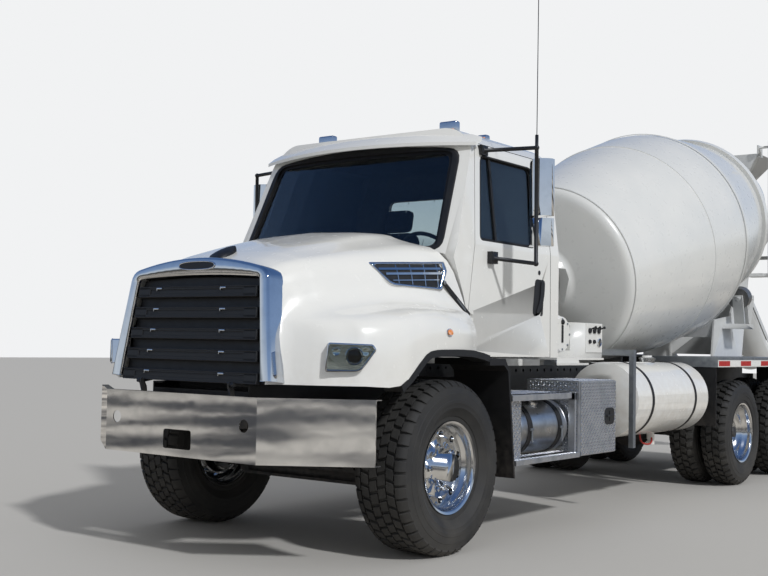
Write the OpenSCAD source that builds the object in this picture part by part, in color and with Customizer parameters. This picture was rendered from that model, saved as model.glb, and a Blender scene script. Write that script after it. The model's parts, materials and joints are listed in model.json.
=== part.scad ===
/* [Chassis] */
// Distance from the front axle to the first rear axle
wheelbase = 5280; // [5200:10:5600]
// Distance between the two rear axles
tandem = 1370; // [1300:10:1450]
// Front face of the bumper ahead of the front axle
front_overhang = 1280; // [1260:5:1320]
// Half width over the bumper, the steps and the rear decks
half_width = 1220; // [1200:5:1260]
// Half width over the two frame rails
rail_half = 430; // [400:5:440]
// Height of a frame rail
rail_h = 280; // [240:5:300]
// Height of the frame rails' underside above the ground
rail_z = 800; // [780:5:820]
// Thickness of a rail's web and flanges
rail_wall = 10; // [8:1:14]
// Width of a rail's flange
rail_flange = 90; // [80:1:100]
// Height of the mixer subframe on the rails
subframe_h = 110; // [90:5:120]
// Frame end behind the second rear axle
rear_overhang = 1000; // [900:10:1100]

/* [Wheels] */
// Radius of a front tyre
front_tyre_r = 562; // [550:1:570]
// Width of a front tyre
front_tyre_w = 425; // [400:5:430]
// Front wheel centre from the middle of the truck
front_track = 1000; // [990:2:1010]
// Radius of a rear tyre
rear_tyre_r = 525; // [515:1:535]
// Width of a rear tyre
rear_tyre_w = 280; // [270:2:290]
// Distance between twin tyre centres
twin_gap = 330; // [320:1:345]
// Middle of the twin wheels from the middle of the truck
rear_track = 915; // [910:1:925]
// Radius of the rims' bead seats
bead_r = 286; // [280:1:290]
// Radius of the front axle's spindles
spindle_r = 38; // [34:1:44]
// Radius of the rear axles' spindles
rear_spindle_r = 50; // [46:1:56]
// Distance of a kingpin from the middle of the truck
kingpin_x = 780; // [770:1:790]
// Radius of a kingpin
kingpin_r = 24; // [20:1:28]
// Tie rod's distance behind the kingpins
tie_rod_y = 180; // [170:1:190]

/* [Bumper and grille] */
// Height of the bumper's lower edge
bumper_z = 631; // [600:5:660]
// Height of the bumper's face
bumper_h = 390; // [360:5:400]
// Half width of the bumper's straight middle
bumper_fold = 665; // [620:5:700]
// How far the bumper's ends sweep back
bumper_sweep = 411; // [360:5:430]
// Thickness of the bumper's plate
bumper_t = 6; // [5:1:8]
// Radius of the bumper's tow holes
tow_hole_r = 38; // [30:1:45]
// Tow holes' distance from the middle
tow_hole_x = 562; // [520:2:600]
// Height of the tow holes
tow_hole_z = 850; // [820:5:880]
// Number of grille bars
bar_count = 5; // [3:1:7]

/* [Bonnet] */
// Thickness of the bonnet's skin
hood_skin = 12; // [10:1:14]
// Height of the bonnet's lower front edge
hood_low_z = 1095; // [1085:1:1100]
// Rear edge of the bonnet's sides behind the front axle
hood_rear = 385; // [375:1:390]
// Gap between the bonnet and the cab
hood_gap = 14; // [10:1:20]

/* [Cab] */
// Height of the cab's underside
cab_z = 1270; // [1255:5:1280]
// Half width of the cab at the doors
cab_half = 1020; // [1000:5:1030]
// Half width of the cab at the roof's edge
roof_half = 930; // [900:5:950]
// Height of the beltline, where the sides begin to lean in
belt_z = 2050; // [2000:5:2080]
// Height of the roof's edge
roof_z = 2830; // [2790:5:2860]
// Height of the roof's crown above its edge
roof_crown = 140; // [100:5:160]
// Cab's rear face behind the front axle
cab_rear = 1700; // [1660:5:1720]
// Thickness of the cab's walls and doors
cab_wall = 50; // [40:1:60]
// Radius of the windscreen's curve
screen_r = 3600; // [3000:50:5000]
// Lean of the windscreen from upright
screen_lean = 24; // [22:0.5:26]
// Gap round the doors
door_gap = 7; // [6:1:10]
// Thickness of the door glass
glass_t = 6; // [4:1:8]

/* [Drum] */
// Slope of the drum's axis
drum_slope = 14.66; // [13:0.1:16]
// Height of the drum's axis at the measuring point
drum_axis_z = 2155; // [2140:5:2200]
// The measuring point on the drum's axis behind the front axle
drum_ref_y = 4000; // [3950:10:4050]
// Largest radius of the drum
drum_max_r = 1150; // [1100:5:1160]
// Thickness of the drum's shell
drum_wall = 8; // [6:1:10]
// Radius of the track ring
ring_r = 966; // [950:1:980]
// Width of the track ring
ring_w = 90; // [70:1:110]
// Radius of a roller
roller_r = 125; // [110:1:130]
// Angle of each roller from the lowest point of the ring
roller_angle = 32; // [28:1:36]
// Running gap between the ring and a roller
roller_gap = 0.3; // [0.1:0.1:0.5]
// Height of the drum's spiral fins
fin_h = 280; // [200:10:300]
// Number of turns of each fin
fin_turns = 2.5; // [1.5:0.25:3]

/* [Chutes] */
// Radius of the chutes' trough
chute_r = 250; // [220:5:280]
// Length of the main chute
chute_len = 1150; // [1000:10:1300]
// Length of the fold-over chute
fold_len = 950; // [800:10:1000]
// Wall of the chutes
chute_wall = 6; // [4:1:8]
// Slope of the main chute below level as it is parked
chute_slope = 38; // [30:1:45]

/* [Tanks and boxes] */
// Radius of the fuel tank
fuel_r = 200; // [180:5:205]
// Radius of the water tank
water_r = 325; // [300:5:330]
// Front of the water tank's barrel behind the front axle
water_y0 = 2810; // [2780:5:2850]
// Rear of the water tank's barrel behind the front axle
water_y1 = 4370; // [4300:5:4400]
// Top of the rear decks
deck_z = 1283; // [1270:1:1300]

/* [Hidden] */
$fn = 48;

axle2_y = wheelbase + tandem;
frame_end = axle2_y + rear_overhang;
rail_top = rail_z + rail_h;
subframe_top = rail_top + subframe_h;
fit = 0.1; // radial clearance of pins in bores
seat_gap = 0.3; // gap between pieces that seat on one another

// Drum axis: s is the distance along it from the measuring point
function drum_y(s) = drum_ref_y + s * cos(drum_slope);
function drum_z(s) = drum_axis_z + s * sin(drum_slope);

// Chute places
turret_y = 8060;
chute_pivot_z = 2010;
chute_pivot_y = turret_y + 130;
fold_lift = 30; // how far the folded chute's rim lies above the main chute's
chute_end_y = chute_pivot_y + (chute_len - 20) * cos(chute_slope) + (fold_lift + chute_r) * sin(chute_slope);
mid_y = (chute_end_y - front_overhang) / 2;

// Posts that carry the hopper, and its pins
post_x = 620;
post_y = 7830;
hopper_pin_z = 3870;
pin_r = 15;

// Ladder's two rails and its place behind the rear bar
ladder_x = [-1060, -(post_x + 40 + 14 + seat_gap)];
ladder_y = frame_end + 16 + 18 + seat_gap;

// Bonnet's tilting axis
tilt_y = -1230;
tilt_z = 1085;
// the seam between bonnet and cab is upright, then bends forward on a circle round the tilting pins
// and goes on straight; g is 0 at the bonnet and the gap at the cab
seam_z = 1600;
seam_r = 1679;
function seam_at(g, z) = min(hood_rear + g, tilt_y + sqrt(pow(seam_r + g, 2) - pow(z - tilt_z, 2)),
  hood_rear + g - (z - seam_z) * (g > 0 ? 0.518 : 0.53));
tilt_r = 12;

// Doors' hinge axis and its pins
hinge_x = cab_half + 10;
hinge_y = 405;
hinge_r = 5;
hinge_z = [1340, 1540];

function unit(v) = v / norm(v);

// Outline with rounded corners, from rows of [a, b, setback of the corner]
function rounded(rows) = [for (i = [0:len(rows) - 1])
  let (n = len(rows), q = [rows[i][0], rows[i][1]], a = rows[(i + n - 1) % n], b = rows[(i + 1) % n], r = rows[i][2],
    e0 = q + unit([a[0], a[1]] - q) * r, e1 = q + unit([b[0], b[1]] - q) * r)
  each (r == 0 ? [q] : [for (t = [0:0.25:1]) (1 - t) * (1 - t) * e0 + 2 * t * (1 - t) * q + t * t * e1])];

// Puts a shape drawn from the front axle so that the origin is under the middle of the truck
module placed() {
  translate([0, -mid_y, 0]) children();
}

// A shape and its mirror image on the other side
module both_sides() {
  children();
  mirror([1, 0, 0]) children();
}

// A (y, z) outline made into a plate from x0 to x1
module side_plate(x0, x1) {
  translate([x0, 0, 0]) rotate([90, 0, 90]) linear_extrude(x1 - x0) children();
}

// An (x, z) outline made into a length from y0 to y1
module cross_section(y0, y1) {
  translate([0, y1, 0]) rotate([90, 0, 0]) linear_extrude(y1 - y0) children();
}

// Block between two corners
module block(a, b) {
  translate(a) cube(b - a);
}

// Round bar between two points
module rod(p, q, r) {
  v = q - p;
  translate(p) rotate([0, acos(v[2] / norm(v)), atan2(v[1], v[0])]) cylinder(r = r, h = norm(v));
}

// Moves to the drum's axis at distance s, with Z along the axis
module on_drum_axis(s) {
  translate([0, drum_y(s), drum_z(s)]) rotate([drum_slope - 90, 0, 0]) children();
}

// Chassis

module rail_channel(side) {
  x0 = rail_half - rail_flange;
  cross_section(-1100, frame_end) scale([side, 1]) polygon([[x0, rail_z], [rail_half, rail_z],
    [rail_half, rail_top], [x0, rail_top], [x0, rail_top - rail_wall], [rail_half - rail_wall, rail_top - rail_wall],
    [rail_half - rail_wall, rail_z + rail_wall], [x0, rail_z + rail_wall]]);
}

crossmember_y = [-1040, 1650, 2500, 4100, 5965, 7300];

module frame_rails() color("dimgray") {
  hole_pitch = 120;
  difference() {
    union() {
      for (side = [-1, 1]) rail_channel(side);
      // subframe of the mixer
      both_sides() block([rail_half - 80, 1900, rail_top], [rail_half, 7450, subframe_top]);
      for (y = crossmember_y)
        block([-rail_half + rail_wall, y - 60, rail_z + 120], [rail_half - rail_wall, y + 60, rail_z + 240]);
      // end of the frame, with the tow plate
      block([-rail_half - 60, frame_end, rail_z - 60], [rail_half + 60, frame_end + 16, rail_top]);
      // bumper brackets
      both_sides() block([rail_half - 50, -front_overhang + bumper_t, rail_z + 20],
        [rail_half - 10, -1050, rail_z + 160]);
      // lugs and pins on which the bonnet tilts
      both_sides() {
        side_plate(rail_half - 46, rail_half - 32) polygon([[tilt_y, 940], [tilt_y, 1026], [tilt_y - 16, tilt_z - 10],
          [tilt_y - 16, tilt_z + 8], [tilt_y - 8, tilt_z + 16], [tilt_y + 8, tilt_z + 16], [tilt_y + 36, 1050], [tilt_y + 50, 940]]);
        rod([rail_half - 46, tilt_y, tilt_z], [rail_half, tilt_y, tilt_z], tilt_r);
      }
      // rear bar under the lamps
      both_sides() block([rail_half + 60, frame_end - 60, rail_z - 60], [1120, frame_end + 16, rail_z + 60]);
    }
    for (y = [1960:hole_pitch:3900])
      translate([0, y, subframe_top - 40]) rotate([0, 90, 0]) cylinder(r = 15, h = 2000, center = true);
    // pintle bolt holes
    for (x = [-1, 1], z = [-1, 1])
      translate([x * pintle_x / 2, frame_end - 1, tow_z + z * pintle_z / 2]) rotate([-90, 0, 0])
        cylinder(r = pintle_r, h = 20);
  }
}

pintle_x = 82.5;
pintle_z = 44.5;
pintle_r = 7.2;
tow_z = rail_z + 90;

// Plan of the bumper's outer face, moved inwards by t
function bumper_face(t) = let (n = unit([bumper_sweep, half_width - bumper_fold]),
  k = t * (1 - n[1]) / n[0]) [
  [-half_width + t * n[0] * 0, -front_overhang + bumper_sweep + t / n[1]],
  [-bumper_fold + k, -front_overhang + t],
  [bumper_fold - k, -front_overhang + t],
  [half_width, -front_overhang + bumper_sweep + t / n[1]]];

module bumper_plan(t0, t1) {
  a = bumper_face(t0);
  b = bumper_face(t1);
  polygon([a[0], a[1], a[2], a[3], b[3], b[2], b[1], b[0]]);
}

module front_bumper() color("silver") difference() {
  lip = 45;
  union() {
    translate([0, 0, bumper_z]) linear_extrude(bumper_h) bumper_plan(0, bumper_t);
    for (z = [bumper_z, bumper_z + bumper_h - bumper_t])
      translate([0, 0, z]) linear_extrude(bumper_t) bumper_plan(0, lip);
  }
  for (side = [-1, 1]) translate([side * tow_hole_x, -front_overhang - 1, tow_hole_z]) rotate([-90, 0, 0])
    cylinder(r = tow_hole_r, h = 40);
  // rounded step hole in the middle
  cross_section(-front_overhang - 1, -front_overhang + 30)
    polygon(rounded([[-122, 678, 18], [122, 678, 18], [122, 797, 18], [-122, 797, 18]]));
}

module engine_block() color("dimgray") {
  // engine
  block([-300, -560, 640], [300, 640, 1100]);
  block([-340, -760, 1100], [340, 140, 1640]);
  // gearbox
  block([-200, 640, 680], [200, 1500, 1080]);
  // radiator in its frame
  block([-480, -960, rail_top + seat_gap], [480, -840, 1690]);
  block([-330, -960, 900], [330, -840, rail_top + 10]);
  block([-300, -860, 900], [300, -560, 960]);
  // engine mounts on the rails
  both_sides() block([300, -100, 820], [rail_half - rail_wall, 100, 900]);
  both_sides() block([200, 1000, 820], [rail_half - rail_wall, 1080, 900]);
}

beam_z = 470; // top flange of the front beam between the springs
spring_x = rail_half - rail_flange / 2;

// Leaf spring pack as a (y, z) outline: half length, height at the middle and at the ends, thickness
module spring_outline(half, mid_z, end_z, t) {
  steps = 10;
  top = [for (i = [-steps:steps]) [half * i / steps, mid_z + (end_z - mid_z) * (i / steps) * (i / steps)]];
  taper = [for (i = [steps:-1:-steps])
    [half * i / steps, mid_z + (end_z - mid_z) * (i / steps) * (i / steps) - t * (1 - 0.7 * abs(i / steps))]];
  polygon(concat(top, taper));
}

module front_axle() color("dimgray") {
  eye_h = 58;
  difference() {
    cross_section(-50, 50) polygon([[-kingpin_x, front_tyre_r - eye_h], [-kingpin_x + 75, front_tyre_r - eye_h],
      [-600, beam_z - 80], [600, beam_z - 80], [kingpin_x - 75, front_tyre_r - eye_h],
      [kingpin_x, front_tyre_r - eye_h], [kingpin_x, front_tyre_r + eye_h],
      [700, front_tyre_r + eye_h], [560, beam_z + 20], [-560, beam_z + 20], [-700, front_tyre_r + eye_h],
      [-kingpin_x, front_tyre_r + eye_h]]);
    // the beam's two channels
    for (y = [-60, 18]) block([-560, y, beam_z - 60], [560, y + 42, beam_z]);
  }
  both_sides() {
    translate([kingpin_x, 0, front_tyre_r - 130]) cylinder(r = kingpin_r, h = 260);
    translate([kingpin_x, 0, front_tyre_r - eye_h]) cylinder(r = 42, h = 2 * eye_h);
    block([spring_x - 45, -70, beam_z + 20], [spring_x + 45, 70, 600]);
    translate([0, 0, 0]) side_plate(spring_x - 45, spring_x + 45) spring_outline(720, 660, 730, 60);
    // hangers
    for (y = [-720, 720]) block([spring_x - 35, y - 40, 690], [spring_x + 35, y + 40, rail_z]);
  }
}

walk_x = 470; // walking beams' place from the middle

module rear_axles() color("dimgray") {
  for (y = [wheelbase, axle2_y]) {
    rod([-620, y, rear_tyre_r], [620, y, rear_tyre_r], 75);
    rod([-1120, y, rear_tyre_r], [1120, y, rear_tyre_r], rear_spindle_r);
    rod([0, y - 120, rear_tyre_r], [0, y + 130, rear_tyre_r], 205);
    rod([0, y - 330, rear_tyre_r + 25], [0, y - 100, rear_tyre_r + 10], 90);
  }
  // shafts
  rod([0, 1506, 860], [0, wheelbase - 330, rear_tyre_r + 25], 55);
  rod([0, wheelbase + 100, rear_tyre_r + 40], [0, axle2_y - 330, rear_tyre_r + 25], 50);
  both_sides() {
    // walking beam and its saddle
    side_plate(walk_x - 35, walk_x + 35) polygon(rounded([[wheelbase - 110, 455, 30], [5965, 380, 120],
      [axle2_y + 110, 455, 30], [axle2_y + 110, 600, 40], [5965, 560, 120], [wheelbase - 110, 600, 40]]));
    side_plate(rail_half, walk_x + 35) polygon([[5760, rail_top - 60], [6170, rail_top - 60], [6060, 480],
      [5870, 480]]);
  }
}

// Tyre section as [radius, place along the axle], half of it, closed by its mirror image
function tyre_half(r, w, rim_w) = [[bead_r, rim_w / 2 - 34], [bead_r, rim_w / 2 - 0.5], [bead_r + 14, rim_w / 2 - 0.5], [bead_r + 18, rim_w / 2 + 6],
  [bead_r + 0.35 * (r - bead_r), w / 2 - 4], [bead_r + 0.52 * (r - bead_r), w / 2],
  [bead_r + 0.72 * (r - bead_r), w / 2 - 5], [r - 34, w / 2 - 18], [r - 12, w / 2 - 40], [r - 3, w / 2 - 62],
  [r, w / 4]];
function tyre_inside(r, w, rim_w) = [[bead_r + 40, rim_w / 2 - 34], [bead_r + 0.5 * (r - bead_r), w / 2 - 22],
  [r - 60, w / 2 - 40], [r - 32, w / 4]];

module tyre(r, w, rim_w) {
  out = tyre_half(r, w, rim_w);
  in = tyre_inside(r, w, rim_w);
  ring = concat(out, [for (i = [len(out) - 1:-1:0]) [out[i][0], -out[i][1]]],
    [for (q = in) [q[0], -q[1]]], [for (i = [len(in) - 1:-1:0]) in[i]]);
  rotate([0, 90, 0]) rotate_extrude($fn = 96) polygon(ring);
}

module front_tyre(side) color("dimgray") translate([side * front_track, 0, front_tyre_r])
  tyre(front_tyre_r, front_tyre_w, front_rim_w);
module front_tyre_left() front_tyre(1);
module front_tyre_right() front_tyre(-1);

front_rim_w = 320;
rear_rim_w = 220;
rim_t = 10; // wall of a rim

// Rim section: outer flange at +w/2, disc at place d, hub hole radius h
module rim_barrel(w) {
  b = bead_r - seat_gap;
  rotate_extrude($fn = 96) polygon([[b, -w / 2], [b + 12, -w / 2], [b + 12, -w / 2 - 12], [b - rim_t, -w / 2 - 4],
    [b - rim_t - 4, -w / 2 + 30], [b - 46, -w / 2 + 60], [b - 46, w / 2 - 90], [b - rim_t - 4, w / 2 - 40],
    [b - rim_t, w / 2 + 4], [b + 12, w / 2 + 12], [b + 12, w / 2], [b, w / 2], [b, w / 2 - 40],
    [b - 34, w / 2 - 84], [b - 34, -w / 2 + 56], [b, -w / 2 + 26]]);
}

hand_holes = 10;
hand_hole_pcd = 420;
stud_pcd = 285.75;

module rim_disc(z, t) {
  difference() {
    translate([0, 0, z]) cylinder(r = bead_r - 38, h = t);
    for (i = [0:hand_holes - 1]) rotate([0, 0, i * 360 / hand_holes]) translate([hand_hole_pcd / 2, 0, z - 1])
      cylinder(r = 24, h = t + 2);
  }
}

module front_rim(side) color("silver") translate([side * front_track, 0, front_tyre_r]) rotate([0, side * 90, 0])
  difference() {
    union() {
      rim_barrel(front_rim_w);
      rim_disc(70, 22);
      // hub and brake drum
      translate([0, 0, 40]) cylinder(r = 88, h = 140);
      translate([0, 0, -110]) cylinder(r = 205, h = 180);
    }
    translate([0, 0, -111]) cylinder(r = 190, h = 160);
    translate([0, 0, -50]) cylinder(r = spindle_r + fit, h = 170);
  }
module front_rim_left() front_rim(1);
module front_rim_right() front_rim(-1);

module rear_rims(side, y) color("silver") translate([side * rear_track, y, rear_tyre_r]) rotate([0, side * 90, 0])
  difference() {
    union() {
      for (k = [0, 1]) mirror([0, 0, k]) translate([0, 0, twin_gap / 2]) rim_barrel(rear_rim_w);
      rim_disc(0, 22);
      rim_disc(-22, 22);
      // rings that carry the two rims
      for (k = [0, 1]) mirror([0, 0, k]) difference() {
        cylinder(r = bead_r - 38, h = twin_gap / 2 - 44);
        translate([0, 0, 22]) cylinder(r = bead_r - 50, h = twin_gap / 2);
      }
      translate([0, 0, -230]) cylinder(r = 120, h = 410);
      translate([0, 0, -260]) cylinder(r = 205, h = 238);
    }
    translate([0, 0, -261]) cylinder(r = 190, h = 220);
    translate([0, 0, -235]) cylinder(r = rear_spindle_r + fit, h = 455);
  }
module rear_tyres(side, y) color("dimgray") for (k = [-1, 1])
  translate([side * (rear_track + k * twin_gap / 2), y, rear_tyre_r]) tyre(rear_tyre_r, rear_tyre_w, rear_rim_w);
module rear_tyres_1_left() rear_tyres(1, wheelbase);
module rear_tyres_1_right() rear_tyres(-1, wheelbase);
module rear_tyres_2_left() rear_tyres(1, axle2_y);
module rear_tyres_2_right() rear_tyres(-1, axle2_y);
module rear_rims_1_left() rear_rims(1, wheelbase);
module rear_rims_1_right() rear_rims(-1, wheelbase);
module rear_rims_2_left() rear_rims(1, axle2_y);
module rear_rims_2_right() rear_rims(-1, axle2_y);

module knuckle(side) color("dimgray") mirror([side < 0 ? 1 : 0, 0, 0]) difference() {
  z0 = front_tyre_r;
  union() {
    for (z = [z0 - 118, z0 + 60]) block([kingpin_x - 45, -48, z], [kingpin_x + 80, 48, z + 58]);
    block([kingpin_x + 48, -48, z0 - 118], [kingpin_x + 80, 48, z0 + 118]);
    rod([kingpin_x + 60, 0, z0], [front_track + 115, 0, z0], spindle_r);
    // steering arm with the tie rod's ball pin
    block([kingpin_x - 25, 40, z0 - 118], [kingpin_x + 25, tie_rod_y + 30, z0 - 88]);
    translate([kingpin_x, tie_rod_y, z0 - 160]) cylinder(r = 12, h = 50);
  }
  translate([kingpin_x, 0, z0 - 140]) cylinder(r = kingpin_r + fit, h = 280);
}
module knuckle_left() knuckle(1);
module knuckle_right() knuckle(-1);

module tie_rod() color("dimgray") difference() {
  z = front_tyre_r - 142;
  union() {
    rod([-kingpin_x, tie_rod_y, z], [kingpin_x, tie_rod_y, z], 20);
    for (x = [-kingpin_x, kingpin_x]) translate([x, tie_rod_y, z - 22]) cylinder(r = 30, h = 44);
  }
  translate([kingpin_x, tie_rod_y, z - 30]) cylinder(r = 12 + fit, h = 60);
  translate([-kingpin_x, tie_rod_y, z - 30]) cylinder(r = 14, h = 60);
}

// Bonnet

// Rows of the bonnet: y, top at the middle, edge of the raised top (x, z), shoulder (x, z),
// foot of the side (x, z), edge of the wing (x, z), outer face x, lower edge z
hood_rows = [
  [-1200, 1800, 440, 1790, 600, 1745, 640, 1500, 690, 1440, 712, hood_low_z],
  [-1100, 1838, 450, 1826, 620, 1785, 670, 1520, 800, 1455, 842, hood_low_z],
  [-1000, 1878, 470, 1862, 645, 1812, 705, 1535, 915, 1468, 978, hood_low_z],
  [-900, 1912, 490, 1892, 670, 1835, 740, 1550, 1030, 1485, 1110, hood_low_z],
  [-830, 1932, 505, 1908, 690, 1848, 765, 1562, 1090, 1500, 1195, hood_low_z],
  [-620, 1978, 540, 1945, 745, 1878, 835, 1590, 1120, 1535, 1216, hood_low_z + 3],
  [-440, 2012, 560, 1972, 790, 1902, 890, 1605, 1130, 1560, 1216, hood_low_z + 135],
  [-320, 2032, 570, 1990, 820, 1918, 920, 1610, 1130, 1572, 1216, hood_low_z + 212],
  [-80, 2070, 590, 2020, 880, 1945, 970, 1612, 1120, 1580, 1205, hood_low_z + 225],
  [180, 2105, 610, 2050, 950, 1970, 1010, 1605, 1090, 1565, 1175, hood_low_z + 222],
  [hood_rear, 2118, 620, 2060, 985, 1980, 1022, 1600, 1050, 1550, 1110, hood_low_z + 190]];

// One round of corner cutting on an open outline
function cut_corners(p) = concat([p[0]], [for (i = [0:len(p) - 2]) each [p[i] * 0.75 + p[i + 1] * 0.25,
  p[i] * 0.25 + p[i + 1] * 0.75]], [p[len(p) - 1]]);

// Smooth rows between the given ones: Catmull-Rom on every column
function blend_row(a, b, c, d, t) = 0.5 * ((2 * b) + (c - a) * t + (2 * a - 5 * b + 4 * c - d) * t * t
  + (3 * b - a - 3 * c + d) * t * t * t);
function smooth_rows(rows, n) = concat([for (i = [0:len(rows) - 2]) for (k = [0:n - 1])
  blend_row(rows[max(i - 1, 0)], rows[i], rows[i + 1], rows[min(i + 2, len(rows) - 1)], k / n)],
  [rows[len(rows) - 1]]);

// Front and rear limits of the bonnet at height z
function hood_front_at(z) = -1200 + 0.1 * (z - hood_low_z);
function hood_rear_at(z) = seam_at(0, z);
function hood_y(y, z) = let (t = (y - hood_rows[0][0]) / (hood_rear - hood_rows[0][0]))
  hood_front_at(z) * (1 - t) + hood_rear_at(z) * t;

function hood_half(row) = [[0, row[1]], [row[2], row[3]], [row[4], row[5]], [row[6], row[7]], [row[8], row[9]],
  [row[10], row[9] - 90], [row[10], row[11]]];
function hood_outline(row) = let (h = cut_corners(cut_corners(hood_half(row))))
  concat([for (i = [len(h) - 1:-1:1]) [-h[i][0], h[i][1]]], h);
// The same outline moved inwards by the skin
function inside_outline(p, t) = [for (i = [0:len(p) - 1])
  let (d = unit(p[min(i + 1, len(p) - 1)] - p[max(i - 1, 0)])) p[i] + t * [d[1], -d[0]]];

// Layer of the bonnet between two depths under its outer face; a negative depth stands proud
// rows from place r0 back, points of the outline from place i0 on
module hood_layer(t0, t1, r0 = 0, i0 = 0) {
  every = smooth_rows(hood_rows, 2);
  rows = [for (i = [r0:len(every) - 1]) every[i]];
  function layer(t) = [for (row = rows) let (o = hood_outline(row), n = inside_outline(o, t))
    [for (i = [i0:len(o) - 1]) [n[i][0], hood_y(row[0], o[i][1]), n[i][1]]]];
  outer = layer(t0);
  inner = layer(t1);
  m = len(outer[0]);
  k = len(rows);
  function at(ring, i, skin) = (skin * k + ring) * m + i;
  faces = concat(
    [for (a = [0:k - 2]) for (i = [0:m - 2]) each [[at(a, i, 0), at(a, i + 1, 0), at(a + 1, i + 1, 0)],
      [at(a, i, 0), at(a + 1, i + 1, 0), at(a + 1, i, 0)]]],
    [for (a = [0:k - 2]) for (i = [0:m - 2]) each [[at(a, i, 1), at(a + 1, i + 1, 1), at(a, i + 1, 1)],
      [at(a, i, 1), at(a + 1, i, 1), at(a + 1, i + 1, 1)]]],
    [for (i = [0:m - 2]) each [[at(0, i, 0), at(0, i, 1), at(0, i + 1, 1)],
      [at(0, i, 0), at(0, i + 1, 1), at(0, i + 1, 0)]]],
    [for (i = [0:m - 2]) each [[at(k - 1, i, 0), at(k - 1, i + 1, 1), at(k - 1, i, 1)],
      [at(k - 1, i, 0), at(k - 1, i + 1, 0), at(k - 1, i + 1, 1)]]],
    [for (a = [0:k - 2]) each [[at(a, 0, 0), at(a + 1, 0, 0), at(a + 1, 0, 1)],
      [at(a, 0, 0), at(a + 1, 0, 1), at(a, 0, 1)]]],
    [for (a = [0:k - 2]) each [[at(a, m - 1, 0), at(a + 1, m - 1, 1), at(a + 1, m - 1, 0)],
      [at(a, m - 1, 0), at(a, m - 1, 1), at(a + 1, m - 1, 1)]]]);
  polyhedron(points = concat([for (r = outer) each r], [for (r = inner) each r]), faces = [for (f = faces) [f[0], f[2], f[1]]]);
}

module hood() color("white") difference() {
  hood_layer(0, hood_skin);
  grille_space(seat_gap);
  both_sides() on_lamp() lamp_form(seat_gap);
}

// Lower edge of the bonnet's side from the wheel arch back, as (y, z), moved down by t
function arch_line(t) = inside_outline([for (row = smooth_rows(hood_rows, 2)) if (row[0] > -640)
  [hood_y(row[0], row[11]), row[11]]], t);

module wheel_flares() color("black") both_sides() side_plate(1080, half_width)
  polygon(concat(arch_line(seat_gap), [for (i = [len(arch_line(0)) - 1:-1:0]) arch_line(44)[i]]));

module grille_frame(x_top, x_low, z_top, z_low, r) {
  polygon(rounded([[-x_low, z_low, 4], [-x_top, z_top, r], [x_top, z_top, r], [x_low, z_low, 4]]));
}

// Tilts a shape drawn upright so that it follows the bonnet's leaning front
module on_grille() {
  translate([0, -1206, hood_low_z]) rotate([-5.7, 0, 0]) translate([0, 0, -hood_low_z]) children();
}

// Space that the grille's surround takes, grown by g
module grille_space(g) {
  on_grille() cross_section(-18 - g, 120 + g) grille_frame(604 + g, 706 + g, 1790 + g, 1112 - g, 60);
}

// Frame behind the grille that carries the bonnet on its tilting pins
module hood_frame() color("black") {
  on_grille() difference() {
    cross_section(120 + seat_gap, 132) grille_frame(600, 702, 1786, 1116, 56);
    cross_section(119, 133) grille_frame(560, 655, 1746, 1000, 24);
  }
  on_grille() rod([-668, 134, 1132], [668, 134, 1132], 12);
  both_sides() side_plate(rail_half - 26, rail_half - 14) difference() {
    polygon([[tilt_y - 16, tilt_z], [tilt_y, tilt_z - 16], [-1090, 1092], [-1064, 1118], [-1064, 1140], [-1090, 1140],
      [-1130, 1112], [tilt_y, tilt_z + 16]]);
    translate([tilt_y, tilt_z]) circle(r = tilt_r + fit);
  }
}

module grille_surround() color("silver") difference() {
  grille_space(0);
  grille_hollow();
}

module grille_hollow() on_grille() {
  cross_section(-30, 130) grille_frame(536, 632, 1738, 1000, 24);
  // hollow behind the front face
  cross_section(-10, 130) grille_frame(594, 698, 1780, 1000, 56);
}

module grille_bars() color("black") on_grille() {
  pitch = 110;
  // side posts and back panel
  cross_section(40, 52) grille_frame(530, 622, 1732, 1120, 10);
  for (i = [0:bar_count - 1]) {
    z = 1158 + i * pitch;
    x = 698 - (z + 62 - 1000) * 104 / 780 - seat_gap;
    difference() {
      block([-x, -10 + seat_gap, z], [x, 44, z + 62]);
      block([-x + 120, -12, z + 18], [x - 120, 8, z + 44]);
    }
  }
}

// Headlamp place on the swept front of the wing
module on_lamp() {
  translate([1072, -928, 1290]) rotate([0, 0, 36.5]) children();
}

module lamp_form(g) {
  cross_section(-26 - g, 30 + g) polygon(rounded([[-150 - g, -110 - g, 8], [60 + g, -110 - g, 30],
    [150 + g, 20, 10], [130 + g, 52 + g, 8], [-135 - g, 58 + g, 8]]));
}

module headlamps() color("silver") both_sides() on_lamp() difference() {
  lamp_form(0);
  translate([20, -10, -20]) rotate([90, 0, 0]) cylinder(r = 62, h = 40);
  translate([-85, -10, 0]) rotate([90, 0, 0]) cylinder(r = 34, h = 40);
}

module side_vents() color("silver") difference() {
  both_sides() intersection() {
    hood_layer(-14, 4, 8, 28);
    side_plate(700, 1200) difference() {
      polygon(rounded([[-450, 1870, 30], [165, 1908, 12], [180, 1850, 10], [120, 1705, 20], [-320, 1722, 60]]));
      polygon(rounded([[-412, 1852, 24], [140, 1886, 10], [150, 1848, 8], [100, 1728, 16], [-300, 1742, 44]]));
    }
  }
  // the bonnet's own face, so that the frames seat on it
  hood_layer(-seat_gap, hood_skin);
}

// Cab

screen_base_y = 210; // windscreen's lower corner
screen_base_z = 1970;

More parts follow.
